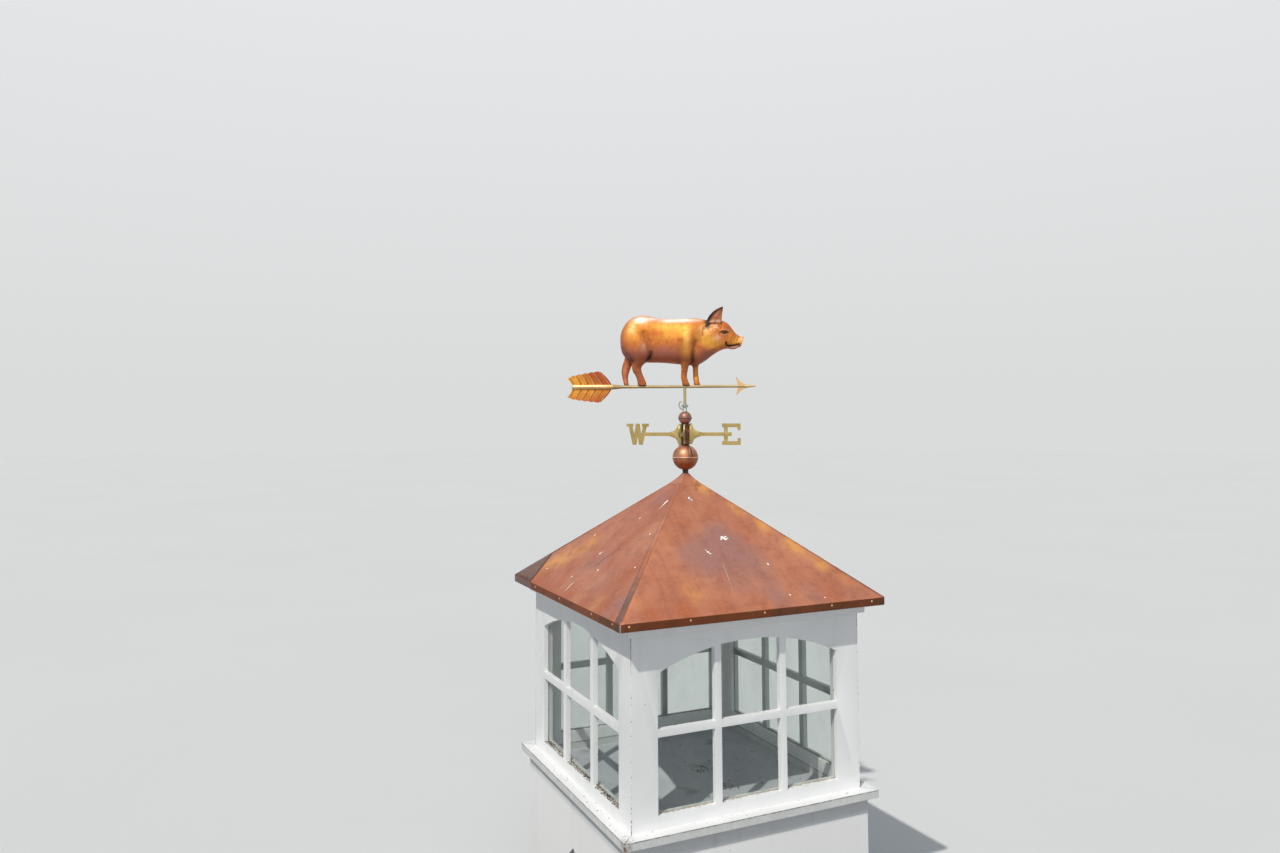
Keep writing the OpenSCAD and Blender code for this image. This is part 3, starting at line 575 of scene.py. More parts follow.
# Colour fields of the slopes: across, out, radius and strength. Side 0 is the front and 3 the left, and
# the two that the photograph hides take the same, mirrored
SPOTS = {
    "gold": {
        0: (
            (0.04, 0.05, 0.04, 0.8), (0.14, 0.15, 0.04, 0.8), (0.21, 0.23, 0.035, 0.7),
            (0.285, 0.31, 0.04, 0.85), (0.35, 0.385, 0.04, 0.7), (0.41, 0.45, 0.035, 0.5),
            (-0.22, 0.46, 0.05, 0.5), (-0.43, 0.47, 0.04, 0.45)),
        3: (
            (-0.17, 0.33, 0.06, 0.5), (-0.25, 0.40, 0.06, 0.65), (-0.33, 0.46, 0.07, 0.6),
            (0.12, 0.30, 0.05, 0.35), (0.27, 0.50, 0.06, 0.4), (0.30, 0.33, 0.03, 0.4)),
    },
    "red": {
        0: (
            (-0.40, 0.51, 0.05, 0.7), (-0.28, 0.51, 0.05, 0.7), (-0.14, 0.51, 0.05, 0.6),
            (0.02, 0.52, 0.04, 0.5), (0.10, 0.27, 0.05, 0.5), (-0.10, 0.20, 0.05, 0.4),
            (0.20, 0.40, 0.05, 0.4), (0.33, 0.50, 0.05, 0.5), (-0.08, 0.42, 0.06, 0.35),
            (0.03, 0.16, 0.04, 0.4)),
        3: (
            (-0.24, 0.51, 0.06, 0.9), (-0.10, 0.52, 0.06, 0.9), (0.04, 0.52, 0.06, 0.9),
            (0.20, 0.52, 0.06, 0.9), (0.34, 0.50, 0.06, 0.7), (-0.33, 0.50, 0.06, 0.7),
            (0.28, 0.38, 0.05, 0.6), (0.10, 0.22, 0.05, 0.5), (-0.12, 0.44, 0.05, 0.5),
            (0.06, 0.30, 0.05, 0.5)),
    },
    "mauve": {
        0: (
            (-0.02, 0.34, 0.12, 0.62), (0.09, 0.36, 0.09, 0.4), (-0.01, 0.26, 0.07, 0.5),
            (0.10, 0.49, 0.06, 0.55), (-0.15, 0.34, 0.09, 0.5), (0.25, 0.50, 0.07, 0.4),
            (-0.04, 0.10, 0.04, 0.5), (0.40, 0.50, 0.05, 0.35)),
        3: (
            (0.00, 0.11, 0.05, 0.6), (0.02, 0.37, 0.07, 0.5), (0.19, 0.45, 0.06, 0.55),
            (0.42, 0.46, 0.05, 0.6), (-0.04, 0.45, 0.07, 0.3), (0.40, 0.52, 0.05, 0.4)),
    },
}
MIRRORED = {0: (0, 1), 1: (3, -1), 2: (0, -1), 3: (3, 1)}


def roof_fields(piece, side, **fields):
    """Paints the slope's colour fields on a piece, and any given as functions of across and out."""
    x, y, _ = points_of(piece.data).T
    across, out = ((x, -y), (y, x), (-x, y), (-y, -x))[side]
    like, hand = MIRRORED[side]
    for name, slopes in SPOTS.items():
        paint(piece.data, name, sum(
            strength * np.exp(-((hand * across - a) ** 2 + (out - o) ** 2) / radius ** 2)
            for a, o, radius, strength in slopes[like]))
    for name, field in fields.items():
        paint(piece.data, name, field(hand * across, out))


def roof_sheet(side):
    """One triangular copper pan with its edge folded down over the eave and hemmed under."""
    def place(i, j):
        out, z = section[j]
        x = (i / 32 - 1) * out
        if z is None:
            return roof_point(x, out, sheet_dents(x, out, side)), pattern(side, x, out * RUN)
        return Vector((x, -out, z)), fold_pattern(side, x, z)
    bm = laid(64, len(section) - 1, place)
    for face in bm.faces:
        face.material_index = int(face.calc_center_median().z < SHEET_LOW - 0.3 * mm)
    roof_fields(settle(f"roof_sheet_{SIDES[side]}", turned(bm, side), [SHEET, EDGE_PAINTED_DARK],
                       f"copper_{SIDES[side]}", 25, thick=0.5 * mm), side)


for side in range(4):
    roof_sheet(side)


def near_edge(out):
    """How far the near hip's even lap reaches, in millimetres."""
    return 31 + 7 * np.maximum(0, out - 0.36) / 0.17


def far_edge(out):
    """The far lap starts narrow at the hip and widens fast to the eave, as a dog-ear."""
    return 7 * mm + np.maximum(0, out - DOG_EAR_START) / (SHEET_OUT - DOG_EAR_START) * DOG_EAR * mm


def near_width(out):
    return (near_edge(out) + 3 * noise.noise(Vector((out * 14, 2, 0)))) * mm


def hip_lap(side, width_at, hand):
    """The turned edge of the next pan, dressed flat over this slope beside a hip: hand 1 is at its x end."""
    shares = (0, 0.3, 0.6, 0.85, 0.94, 1.0)

    def place(i, j):
        out = 0.012 + (SHEET_OUT - 0.5 * mm - 0.012) * j / 72
        x = out - width_at(out) * shares[i]
        lift = (1.0 - 0.3 * shares[i]) * mm + noise.noise(Vector((out * 40, i, hand * 3))) * 0.25 * mm
        return roof_point(hand * max(x, 0), out, lift), pattern(side, hand * x, out * RUN)
    return turned(laid(5, 72, place), side)


def near_dirt_and_shadow_line(across, out):
    """Dark along the lap's free edge, heavier towards the eave: dirt, and the lap's shadow line painted in.
    """
    gap = np.abs(out - np.abs(across) - near_edge(out) * mm)
    return np.clip(1.3 - gap / (4 * mm), 0, 1) * np.clip(0.35 + out * 1.5, 0, 1)


def near_tarnish(across, out):
    return np.clip((out - 0.33) / 0.14, 0, 1) * 0.6 + 0.12


def far_dirt_and_shadow_line(across, out):
    """Dark along the dog-ear's border and its low edge, and streaks down it: dirt, with a painted shadow line
    at the border.
    """
    gap = np.abs(np.abs(across) - (out - far_edge(out)))
    border = np.clip(1.6 - gap / (9 * mm), 0, 1) * np.clip(out * 3 - 0.4, 0, 1)
    low = np.clip(1.3 - (SHEET_OUT - out) / (12 * mm), 0, 1)
    streak = np.clip(np.sin(across * 190 + out * 60) * np.sin(across * 77 - out * 31) - 0.25, 0, 1)
    return np.clip(np.maximum(border, low) + 0.55 * streak * np.clip((out - 0.42) / 0.06, 0, 1), 0, 1)


def far_tarnish(across, out):
    return np.clip((out - 0.30) / 0.10, 0, 1)


# On the left slope the photograph's near hip is at its x end, and on the right slope at its other end
HIPS = ((3, 1), (1, -1))
for side, near in HIPS:
    for name, width_at, hand, seam, tarnish in (("near_lap", near_width, near, near_dirt_and_shadow_line, near_tarnish),
                                                ("far_lap", far_edge, -near, far_dirt_and_shadow_line, far_tarnish)):
        piece = settle(f"{name}_{SIDES[side]}", hip_lap(side, width_at, hand), SHEET, None, 25,
                       thick=0.6 * mm)
        roof_fields(piece, side, seam=seam, tarnish=tarnish)


def eave_wrap(name, material, side, end_hand, length, lean):
    """The end of a folded edge, taken round the corner on to the next side's edge. It leans by its foot."""
    start, end = end_hand * SHEET_OUT, end_hand * (SHEET_OUT - length)

    def place(i, j):
        x = start + (end - start) * i / 12
        z = WALL_TOP + 1.0 * mm + (FASCIA - 1.6 * mm) * j / 5
        x += lean * (1 - j / 5) * max(0, i - 9) / 3
        proud = 0.35 * mm + 0.2 * mm * noise.noise(Vector((x * 50, z * 90, side)))
        return Vector((x, -(SHEET_OUT + proud), z)), fold_pattern(side, x, z)
    bm = turned(laid(12, 5, place), side)
    piece = settle(f"corner_wrap_{SIDES[side]}_{name}", bm, material, None, 25, thick=0.3 * mm)
    roof_fields(piece, side, tarnish=lambda across, out: np.ones(len(out)))


for side, near in HIPS:
    eave_wrap("near", EDGE_PAINTED_DARK, side, near, 32 * mm, near * 3 * mm)
    eave_wrap("far", SHEET, side, -near, 195 * mm, near * 14 * mm)


def cap_place(i, j):
    """The four pans' tips, drawn up and pinched round the mast's collar."""
    share = j / 12
    out = (7 + 45 * share) * mm
    turn = tau * (i % 96) / 96
    square = out / max(abs(cos(turn)), abs(sin(turn)))
    keep = min(1, share * 1.6) ** 0.7
    reach = out * 1.12 * (1 - keep) + square * keep
    x, y = reach * cos(turn), reach * sin(turn)
    # Folds stand where the hammer gathered the metal
    fold = 0.9 * mm * sin(pi * min(1, share * 1.3)) * cos(turn * 4 + 0.6) * max(0, 1 - share)
    rise = 12.5 * mm * (1 - share) ** 2 + 0.9 * mm * (1 - share ** 3) + 0.1 * mm
    return Vector((x, y, APEX - SLOPE * max(abs(x), abs(y)) + rise + fold)), (turn * 40 * mm, out * RUN)


cap = settle("apex_cap", laid(96, 12, cap_place), SHEET, None, 40, thick=0.5 * mm)
roof_fields(cap, 0, seam=lambda across, out: np.clip(0.9 - np.hypot(across, out) / (18 * mm), 0, 1))

# Low round nail heads along the folded edges
bm = bmesh.new()
for side, nails in ((0, (-0.495, -0.273, 0.013, 0.292, 0.469)), (3, (-0.272, -0.008, 0.294, 0.467))):
    for twin in (side, (side + 2) % 4):
        for x in nails:
            place = seat(round_to(twin, x, SHEET_OUT, WALL_TOP + 18 * mm), round_to(twin, 0, 1, 0))
            bmesh.ops.create_uvsphere(bm, u_segments=12, v_segments=8, radius=3.7 * mm,
                                      matrix=place @ Matrix.Diagonal((1, 1, 0.18, 1)))
settle("eave_nails", bm, BRIGHT)

# The folded edges are soldered at the four corners, and the copper is scored here and there
CORNER = SHEET_OUT - 0.5 * mm
beads = []
for x, y in ((-CORNER, -CORNER), (-CORNER, CORNER), (CORNER, -CORNER), (CORNER, CORNER)):
    path = [(x, y, WALL_TOP + 1.5 * mm + 12.3 * mm * k) for k in range(3)]
    beads.append(tube(path, lambda t: 1.2 * mm, 8))
settle("corner_solder", merged(beads), SOLDER)


def scratch(start, end, width):
    """A bright line scored in the copper between two points."""
    points = [tuple(a + (b - a) * k / 3 for a, b in zip(start, end)) for k in range(4)]
    return tube(points, lambda t: width * sin(pi * min(0.97, max(0.03, t))) ** 0.5, 6, 0.35)


def on_slope(x, y, lift=0.4 * mm):
    return (x, y, APEX - SLOPE * max(abs(x), abs(y)) + lift)


SCORED = -SHEET_OUT + 0.1 * mm
settle("scratches", merged([
    scratch(on_slope(-0.508, 0.002), on_slope(-0.470, 0.003), 2.4 * mm),
    scratch(on_slope(-0.428, -0.002), on_slope(-0.283, -0.086), 0.9 * mm),
    scratch(on_slope(-0.050, -0.355), on_slope(-0.067, -0.453), 0.5 * mm),
    scratch((0.416, SCORED, 1.281), (0.428, SCORED, 1.262), 0.8 * mm)]), BRIGHT)


def splash(bm, x, y, size):
    """A dried splash on the roof, its size in millimetres: a low lump with a ragged rim."""
    if abs(y) > abs(x):
        lean = (0, SLOPE if y > 0 else -SLOPE, 1)
    else:
        lean = (SLOPE if x > 0 else -SLOPE, 0, 1)
    made = bmesh.ops.create_icosphere(bm, subdivisions=2, radius=1)["verts"]
    stretch = chance.uniform(0.6, 1.0)
    phase = Vector((chance.uniform(0, 9), 0, 0))
    for v in made:
        reach = 1 + 0.45 * noise.noise(v.co * 1.7 + phase)
        v.co = Vector((v.co.x * reach, v.co.y * reach * stretch, v.co.z * 0.16 + 0.02)) * (size * mm)
    spin = Matrix.Rotation(chance.uniform(0, tau), 4, "Z")
    bmesh.ops.transform(bm, matrix=seat(on_slope(x, y, 0.1 * mm), lean) @ spin, verts=made)


chance = Random(7)
bm = bmesh.new()
SPLASHES = (
    (0.004, -0.266, 8), (0.012, -0.272, 9), (0.019, -0.264, 6), (0.024, -0.271, 4), (-0.004, -0.273, 4),
    (-0.084, -0.316, 6), (-0.079, -0.322, 4), (-0.089, -0.309, 3), (0.129, -0.375, 5), (0.144, -0.487, 3.5),
    (0.278, -0.507, 3.5), (-0.042, -0.104, 6), (-0.036, -0.112, 4), (-0.199, 0.001, 4), (-0.355, 0.026, 5.5),
    (-0.349, 0.021, 3), (-0.408, -0.076, 4.5), (-0.457, 0.057, 5), (-0.464, 0.309, 4), (-0.363, -0.295, 4),
    (-0.246, -0.178, 4), (-0.299, 0.207, 4), (0.31, 0.12, 6), (0.22, -0.1, 4), (0.42, 0.2, 5), (0.1, 0.33, 7),
    (-0.2, 0.41, 5), (0.05, 0.2, 3))
for x, y, size in SPLASHES:
    splash(bm, x, y, size)
for k in range(9):
    t = k / 8
    splash(bm, -0.117 - 0.034 * t, -0.067 - 0.002 * t + chance.uniform(-2, 2) * mm, 5.5 - 3.5 * t)
settle("droppings", bm, DROPPING)


# Dirt and sealant

def crumb(bm, point, size, flat=0.3):
    """One irregular crumb of leaf, bark or grit. Flat squashes it upwards."""
    made = bmesh.ops.create_icosphere(bm, subdivisions=1, radius=size)["verts"]
    for v in made:
        v.co = v.co * chance.uniform(0.55, 1.25)
    turn = Matrix.Rotation(chance.uniform(0, tau), 4, "Z")
    turn @= Matrix.Rotation(chance.uniform(-0.5, 0.5), 4, "X")
    shape = Matrix.Diagonal((1, chance.uniform(0.4, 0.9), flat * chance.uniform(0.6, 1.2), 1))
    bmesh.ops.transform(bm, matrix=Matrix.Translation(point) @ turn @ shape, verts=made)


chance = Random(21)

# Old sealant under the lowest panes: a thin yellowed bead, broken where it has come away
beads = []
for side, radius in ((0, 2.4), (1, 2.4), (2, 2.4), (3, 3.6)):
    for low, high in LIGHTS:
        path = [tuple(round_to(side, low + 2 * mm + (high - low - 4 * mm) * k / 8, WALL_IN + 0.8 * mm,
                               OPENING_LOW + (0.2 + chance.uniform(0, 1.1)) * mm)) for k in range(9)]
        phase = chance.uniform(0, 9)
        beads.append(tube(path, lambda t: radius * mm * (0.75 + 0.6 * noise.noise(Vector((t * 7, phase, 0)))),
                          8, 0.8, 4))
settle("pane_sealant", merged(beads), SEALANT)

# Leaf litter banks up against the left panes and lies thinner under the others
bm = bmesh.new()
for side, most, spread in ((3, 320, 0.72), (0, 60, 0.55), (1, 24, 0.6), (2, 24, 0.6)):
    for low, high in LIGHTS:
        for k in range(most):
            x = low + 3 * mm + (high - low - 6 * mm) * chance.uniform(0, 1)
            if side == 3 and k % 2:
                back = chance.uniform(0, 17) * mm
            else:
                back = abs(chance.gauss(0, 8 if side == 3 else 5)) * mm
            if back > 18 * mm:
                continue
            size = chance.uniform(1.2, 4.2) * mm * spread
            rise = (7 * mm * max(0, 1 - back / (9 * mm)) * chance.random() if side == 3 else 0) + size * 0.3
            crumb(bm, round_to(side, x, WALL_IN + 1.5 * mm + back, OPENING_LOW + rise), size, 0.5)
# Specks up the sides of the panes, where spiders have worked
for side, most in ((3, 30), (0, 12), (1, 12), (2, 12)):
    for x in (edge for light in LIGHTS for edge in light):
        for _ in range(most):
            reach = chance.uniform(0, 1) ** (1.5 if side == 3 else 2.5)
            crumb(bm, round_to(side, x, WALL_IN + chance.uniform(0.5, 4) * mm, OPENING_LOW + 0.42 * reach),
                  chance.uniform(0.6, 1.6) * mm, 1.6)
settle("leaf_litter", bm, LITTER)

# Grit on the sills and on the muntins' ledges
bm = bmesh.new()
for side, most in ((0, 26), (1, 26), (2, 26), (3, 40)):
    for _ in range(most):
        x = chance.uniform(-0.48, 0.48)
        out = WALL_OUT + abs(chance.gauss(4, 16)) * mm
        if out < 0.498:
            crumb(bm, round_to(side, x, out, SILL_TOP + 0.3 * mm), chance.uniform(0.9, 2.6) * mm)
    for _ in range(14):
        x, back = chance.uniform(-0.36, 0.36), chance.uniform(2, 12) * mm
        crumb(bm, round_to(side, x, WALL_IN + back, MUNTIN_TOP), chance.uniform(0.8, 2.2) * mm)
# Brown crumbs where the near mitre has opened
for _ in range(26):
    t = abs(chance.gauss(0, 11)) * mm
    crumb(bm, Vector((-0.5015 + t, -0.5015 + t + chance.uniform(-2, 2) * mm, SILL_TOP - 0.2 * mm)),
          chance.uniform(1, 2.8) * mm, 0.35)
for _ in range(46):
    x, out = 0.497 - abs(chance.gauss(0, 34)) * mm, chance.uniform(0.461, 0.499)
    crumb(bm, round_to(3, x, out, SILL_TOP + 0.2 * mm), chance.uniform(0.7, 2.2) * mm)
for x, out in ((0.16, 0.487), (0.11, 0.478), (0.24, 0.482), (0.31, 0.470), (0.36, 0.489), (-0.05, 0.480),
               (-0.2, 0.474)):
    crumb(bm, round_to(3, x, out, SILL_TOP + 0.3 * mm), 3.2 * mm)
settle("grit", bm, LITTER)

# Black mildew has caught along the four corner joints, most of it low down
bm = bmesh.new()
for side in range(4):
    for _ in range(110):
        z = SILL_TOP + (WALL_TOP - 31 * mm - SILL_TOP) * chance.random() ** 2.0
        spot = round_to(side, -WALL_OUT + 0.5 * mm, WALL_OUT - chance.uniform(-0.2, 2.5) * mm, z)
        crumb(bm, spot, (0.5 + 1.6 * chance.random() ** 3) * mm, 1.7)
settle("corner_mildew", bm, JOINT_DIRT_AND_SHADE)

# The corner boards' mitres show as a dark line, and so do the sill's. The corner line is widest up under the
# eave, where the extra width is painted shade
lines = []
for side in range(4):
    path = [tuple(round_to(side, -WALL_OUT + 0.55 * mm, WALL_OUT - 0.55 * mm, z))
            for z in (0.606, 0.75, 0.90, 1.03, 1.09, 1.15, 1.226)]
    lines.append(tube(path, lambda t: (0.35 + 0.75 * max(0, t - 0.62) / 0.38 + max(0, 0.3 - t)
                                       + 0.2 * noise.noise(Vector((t * 30, side, 0)))) * mm, 6))
    path = [tuple(round_to(side, -0.5028 + 84 * mm * k / 6, 0.5028 - 84 * mm * k / 6, SILL_TOP - 0.35 * mm))
            for k in range(5)]
    lines.append(tube(path, lambda t: 0.75 * mm * (1 - 0.6 * t), 6))
settle("open_joints_and_eave_shade", merged(lines), JOINT_DIRT_AND_SHADE)

# Old nest dirt on the floor
bm = bmesh.new()
for x, y, most, reach in ((0.072, 0.004, 60, 26), (0.074, -0.186, 30, 22), (0.1, 0.1, 70, 230)):
    for _ in range(most):
        spot = Vector((x + chance.gauss(0, reach) * mm, y + chance.gauss(0, reach) * mm, FLOOR_TOP))
        if max(abs(spot.x), abs(spot.y)) < 0.41:
            crumb(bm, spot, chance.uniform(1.2, 5) * mm, 0.4)
settle("nest_dirt", bm, LITTER)


# Mast

def arc(centre_z, radius, start, end, steps):
    """Points of an arc from angle start to end, in degrees over the level."""
    angles = [radians(start + (end - start) * k / steps) for k in range(steps + 1)]
    return [(radius * cos(a), centre_z + radius * sin(a)) for a in angles]


def globe(name, node, radius, material, rim, proud):
    """Two spun half shells. The upper one's rolled rim stands out over the lower one at the waist."""
    low, high = (corner.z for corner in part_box(node))
    bore, foot_r, shell = 6.6 * mm, 14 * mm, 2 * mm
    centre = low + sqrt(radius * radius - foot_r ** 2)
    bottom = degrees(atan2(low - centre, foot_r))
    top = degrees(atan2(high - centre, sqrt(max(0, radius * radius - (high - centre) ** 2))))
    lip = [(radius + out * mm + share * proud, centre + z * mm) for out, share, z in (
        (-0.4, 0, -1.9), (-0.7, 1, -1.6), (0, 1, -0.7), (-0.2, 1, 0.5), (0, 0.45, 1.2), (0.2, 0, 1.9))]
    outer = arc(centre, radius, bottom, -2.6, 26) + lip + arc(centre, radius, 3.0, top, 26)
    inner = arc(centre, radius - shell, top - 6, bottom + 6, 30)
    bm = spun([(bore, low)] + outer + [(bore, high), (bore, high - shell)] + inner + [(bore, low + shell)])
    for face in bm.faces:
        middle = face.calc_center_median()
        face.material_index = int(hypot(middle.x, middle.y) > radius + 0.15 * mm)
    settle(name, bm, [material, rim], node, 35)
    # The shadow line of the joint under the rim
    under = spun([(radius + out * mm, centre + z * mm) for out, z in (
        (-1.5, -3.4), (0.35, -3.2), (0.6, -1.8), (-1.5, -1.8))])
    settle(name + "_joint", under, JOINT_DIRT_AND_SHADE)
    return centre


GLOBE_Z = globe("large_globe", "globe_large", 50 * mm, GLOBE, BRIGHT, 3.2 * mm)
globe("small_globe", "globe_small", 26 * mm, SMALL, SMALL, 3.0 * mm)

# A dark line runs down the large globe's upper shell, to the right as the camera sees it
DARK_LINE_R = 49.9 * mm
dark_line_path = []
for k in range(9):
    rise = radians(3 + 70 * k / 8)
    turn = radians(-86.0 + 1.6 * sin(k * 2.1))
    reach = DARK_LINE_R * cos(rise)
    dark_line_path.append((reach * cos(turn), reach * sin(turn), GLOBE_Z + DARK_LINE_R * sin(rise)))
bm = tube(dark_line_path, lambda t: (3.3 + 0.3 * sin(5 * t) - 1.2 * t) * mm, 12, 0.55)
settle("globe_dark_line", bm, JOINT_DIRT_AND_SHADE)


def fitting(name, node, profile, material):
    """A turned part on the mast, from radius and height pairs in millimetres over its node's foot."""
    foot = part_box(node)[0].z
    settle(name, spun([(r * mm, foot + z * mm) for r, z in profile]), material, node, 35)


fitting("mast_collar", "roof_collar", (
    (6.6, 1), (11.6, 1), (11.2, 12), (10.8, 23), (12.2, 24.4), (12.2, 27), (11.4, 28), (6.6, 28)), COLLAR)
fitting("cast_hub", "compass_hub", (
    (6.6, 0), (14.6, 0), (18.2, 3.6), (18.6, 6), (17.6, 9), (17.6, 75), (18.6, 78), (18.0, 80.4), (14.4, 85),
    (6.6, 85)), HUB)
eased("bearing_cup", 0.5 * mm, STEEL)
eased("east_west_arms", 0.9 * mm, LETTER)
eased("north_south_arms", 0.9 * mm, LETTER)

eased("arrow_head", 0.8 * mm, SHAFT, "vane")
piece = eased("arrow_shaft", 0.8 * mm, [SHAFT, DULL_SHAFT], "vane")
for face in piece.data.polygons:
    # Only the thick quill under the feathers still shines
    ahead = Matrix.Rotation(-VANE_YAW, 3, "Z") @ face.center
    face.material_index = int(ahead.x > -ARROW_BACK + 185 * mm)

# The stem thickens to a sleeve over the bearing
low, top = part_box("vane_stem")[0].z, ARROW_Z - 4 * mm
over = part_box("bearing_cup")[1].z + 1.2 * mm
settle("stem_and_sleeve", spun([(r * mm, z) for r, z in (
    (0.1, low), (4.4, low), (4.4, over), (5.4, over), (5.7, over + mm), (5.7, top), (0.1, top))]),
       STEM, "vane_stem", 35, "vane")

# Each cast arm ends in a web against the hub
HUB_MIDDLE = sum(corner.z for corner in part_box("compass_hub")) / 2
WEB = ((16, 38.5), (27, 38.5), (29.5, 36), (30.5, 30), (33, 24), (37, 18.8), (43, 14.5), (51, 10.8),
       (58, 8.6))
webs = []
for quarter in range(4):
    bm = bmesh.new()
    outline = [*WEB, *((x, -z) for x, z in reversed(WEB))]
    face = bm.faces.new([bm.verts.new((x * mm, -3.1 * mm, z * mm)) for x, z in outline])
    made = bmesh.ops.extrude_face_region(bm, geom=[face])["geom"]
    far_face = [v for v in made if isinstance(v, bmesh.types.BMVert)]
    bmesh.ops.translate(bm, verts=far_face, vec=(0, 6.2 * mm, 0))
    bmesh.ops.recalc_face_normals(bm, faces=bm.faces)
    round_off(bm, [e for e in bm.edges if e.calc_face_angle(0) > radians(40)], 0.9 * mm)
    bmesh.ops.rotate(bm, verts=bm.verts, matrix=Matrix.Rotation(COMPASS_YAW + quarter * pi / 2, 3, "Z"))
    bmesh.ops.translate(bm, verts=bm.verts, vec=(0, 0, HUB_MIDDLE))
    webs.append(bm)
settle("arm_webs", merged(webs), LETTER, None, 25)

# A clip of galvanised wire hooks round the bearing's flange
across = Vector((cos(radians(-24.6)), sin(radians(-24.6)), 0))
BEARING_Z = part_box("bearing_cup")[0].z
hook = [tuple(across * u * mm + Vector((0, 0, BEARING_Z + z * mm))) for u, z in (
    (-9.5, 38.5), (-14, 40), (-19.5, 37), (-23, 29.5), (-21.5, 20), (-17, 13), (-12, 9.5), (-6, 8.5))]
settle("wire_clip", tube(hook, lambda t: 2.8 * mm, 12), WIRE)


# Vane

IN_VANE = Matrix.Translation((0, 0, ARROW_Z)) @ Matrix.Rotation(VANE_YAW, 4, "Z")


def barb_share(along):
    """How far over its barb a place on the fletching is, from 0 to 1 where the next one laps."""
    return (along * 5.4 + 0.84) % 1


def feather(hand):
    """One vane of the fletching: barbs that lap like shingles and sweep back from the quill."""
    columns, rows, foot = 108, 14, 9 * mm

    def surface(face):
        def place(i, j):
            along, up = i / columns, j / rows
            part = barb_share(along)
            root = -ARROW_BACK + (18 + along * 159) * mm
            tip = -ARROW_BACK + along * 131 * mm
            deep = 33 + 31 * sqrt(along) if hand == 1 else 40 + 23 * sqrt(along)
            high = (deep - 5.0 * (1 - part) ** 2 * (1 - along * 0.3)) * mm
            x = root + (tip - root) * up + 5 * mm * sin(pi * up) * (0.5 + 0.5 * along)
            thick = (0.5 + 1.9 * part ** 0.6) * mm * (1 - 0.35 * up ** 3)
            return Vector((x, face * thick, hand * (foot + (high - foot) * up))), (along, up)
        return laid(columns, rows, place, 0)
    bm = merged([surface(1), surface(-1)])
    bmesh.ops.bridge_loops(bm, edges=[e for e in bm.edges if e.is_boundary])
    bmesh.ops.recalc_face_normals(bm, faces=bm.faces)
    return bm


bm = merged([feather(1), feather(-1)])
bmesh.ops.transform(bm, matrix=IN_VANE, verts=bm.verts)
layer = bm.loops.layers.uv.active
along, up = np.array([tuple(v.link_loops[0][layer].uv) for v in bm.verts]).T
piece = settle("fletching", bm, FEATHER, "arrow_feathers", 22, "vane")
part = barb_share(along)
upper = points_of(piece.data)[:, 2] > ARROW_Z
# Each barb is painted dark where it tucks under the next, as shade in the groove, and light along its raised
# edge, as a painted highlight
paint(piece.data, "dark", np.clip(1.2 - part / 0.18, 0, 1))
paint(piece.data, "painted_highlight", np.clip((part - 0.86) / 0.1, 0, 1) * 0.7)
# Gold at the tail, red at the front of the upper vane, and burnt along the lower edge
fall, rise = np.where(upper, 1.4, 0.7), np.where(upper, 0.1, 0.5)
paint(piece.data, "gold", np.clip(1.05 - along * fall - up * rise, 0, 1))
paint(piece.data, "red", np.where(upper, np.clip(along * 1.8 - 0.7, 0, 1) * (0.3 + 0.7 * up), 0.7 * up ** 2))


# Pig, in millimetres over its soles and along the arrow. The rows are the CAD source's own

PIG_PLACE = IN_VANE @ Matrix.Translation((0, 0, SHAFT_R - 1.5 * mm)) @ Matrix.Scale(mm, 4)
BODY_ROWS = [
    [-254.5, 170, 194, 6, 0], [-252, 146, 208, 25, 0], [-244, 124, 228, 41, 0],
    [-230, 108, 250, 53, 0], [-212, 99, 266, 60, 0], [-190, 94, 275.5, 63, 0],
    [-164, 92, 278.3, 64, 0], [-130, 91, 273.5, 63, 0], [-90, 90, 265, 61.5, 0],
    [-45, 86, 262.5, 62, 0], [0, 81, 265.5, 63, 0], [30, 79, 267, 61.5, 0],
    [56, 82, 264.5, 57, 0], [82, 97, 259, 50.5, 0], [104, 114, 256.5, 46, 0],
    [126, 129, 256.5, 43, 0], [146, 139, 255, 39, 0], [162, 144.5, 250, 34, 0],
    [174, 144.5, 241, 28.5, 0], [185, 142, 224, 23, 0.05], [197, 141, 205.5, 18.5, 0.12],
    [209, 144.5, 195, 16, 0.2], [218, 149, 190.5, 15.5, 0.26], [224, 150, 191.5, 17.5, 0.3],
    [228, 152, 190.5, 17.5, 0.3],
]
HIND_TOP = [
    [83, -208.5, -160, 24, 17], [96, -213, -144, 28, 21], [112, -225, -132, 33, 26],
    [132, -238.5, -130, 37, 30], [155, -247, -136, 39, 31], [180, -247, -146, 39, 30],
    [210, -240, -161, 36, 26], [240, -220, -178, 30, 16],
]
NEAR_HIND = [
    [0, -186, -151, 5, 7.5], [12, -187.5, -152, 6, 8.5], [26, -189.5, -158, 9, 9],
    [42, -196, -165, 12, 10.5], [57, -205.5, -170, 16, 12], [71, -208.5, -169.5, 20, 14],
] + HIND_TOP
FAR_HIND = [
    [0, -240.5, -220.5, 5, 7], [12, -243.5, -223, 6, 8], [26, -247, -225, 9, 8.5],
    [42, -250, -224, 12, 10], [57, -252, -219.5, 16, 12], [71, -251, -214, 20, 14],
    [83, -248.5, -209, 24, 17], [96, -244.5, -198, 28, 21], [112, -240, -170, 33, 26],
    [132, -241, -142, 37, 30],
] + HIND_TOP[4:]
NEAR_FORE = [
    [0, -9.5, 21, 5, 8], [14, -12, 15.5, 6, 8.5], [30, -14.5, 9.5, 8.5, 9],
    [45, -14, 10, 11, 10], [62, -13.5, 13, 15, 12], [87, -14.5, 19.5, 21, 15.5],
    [108, -17, 25.5, 28, 19], [130, -20, 32, 35, 23], [157, -25.5, 39, 41, 26],
    [180, -27, 44, 43, 25], [205, -21, 42, 42, 20], [228, -5, 30, 38, 12],
]
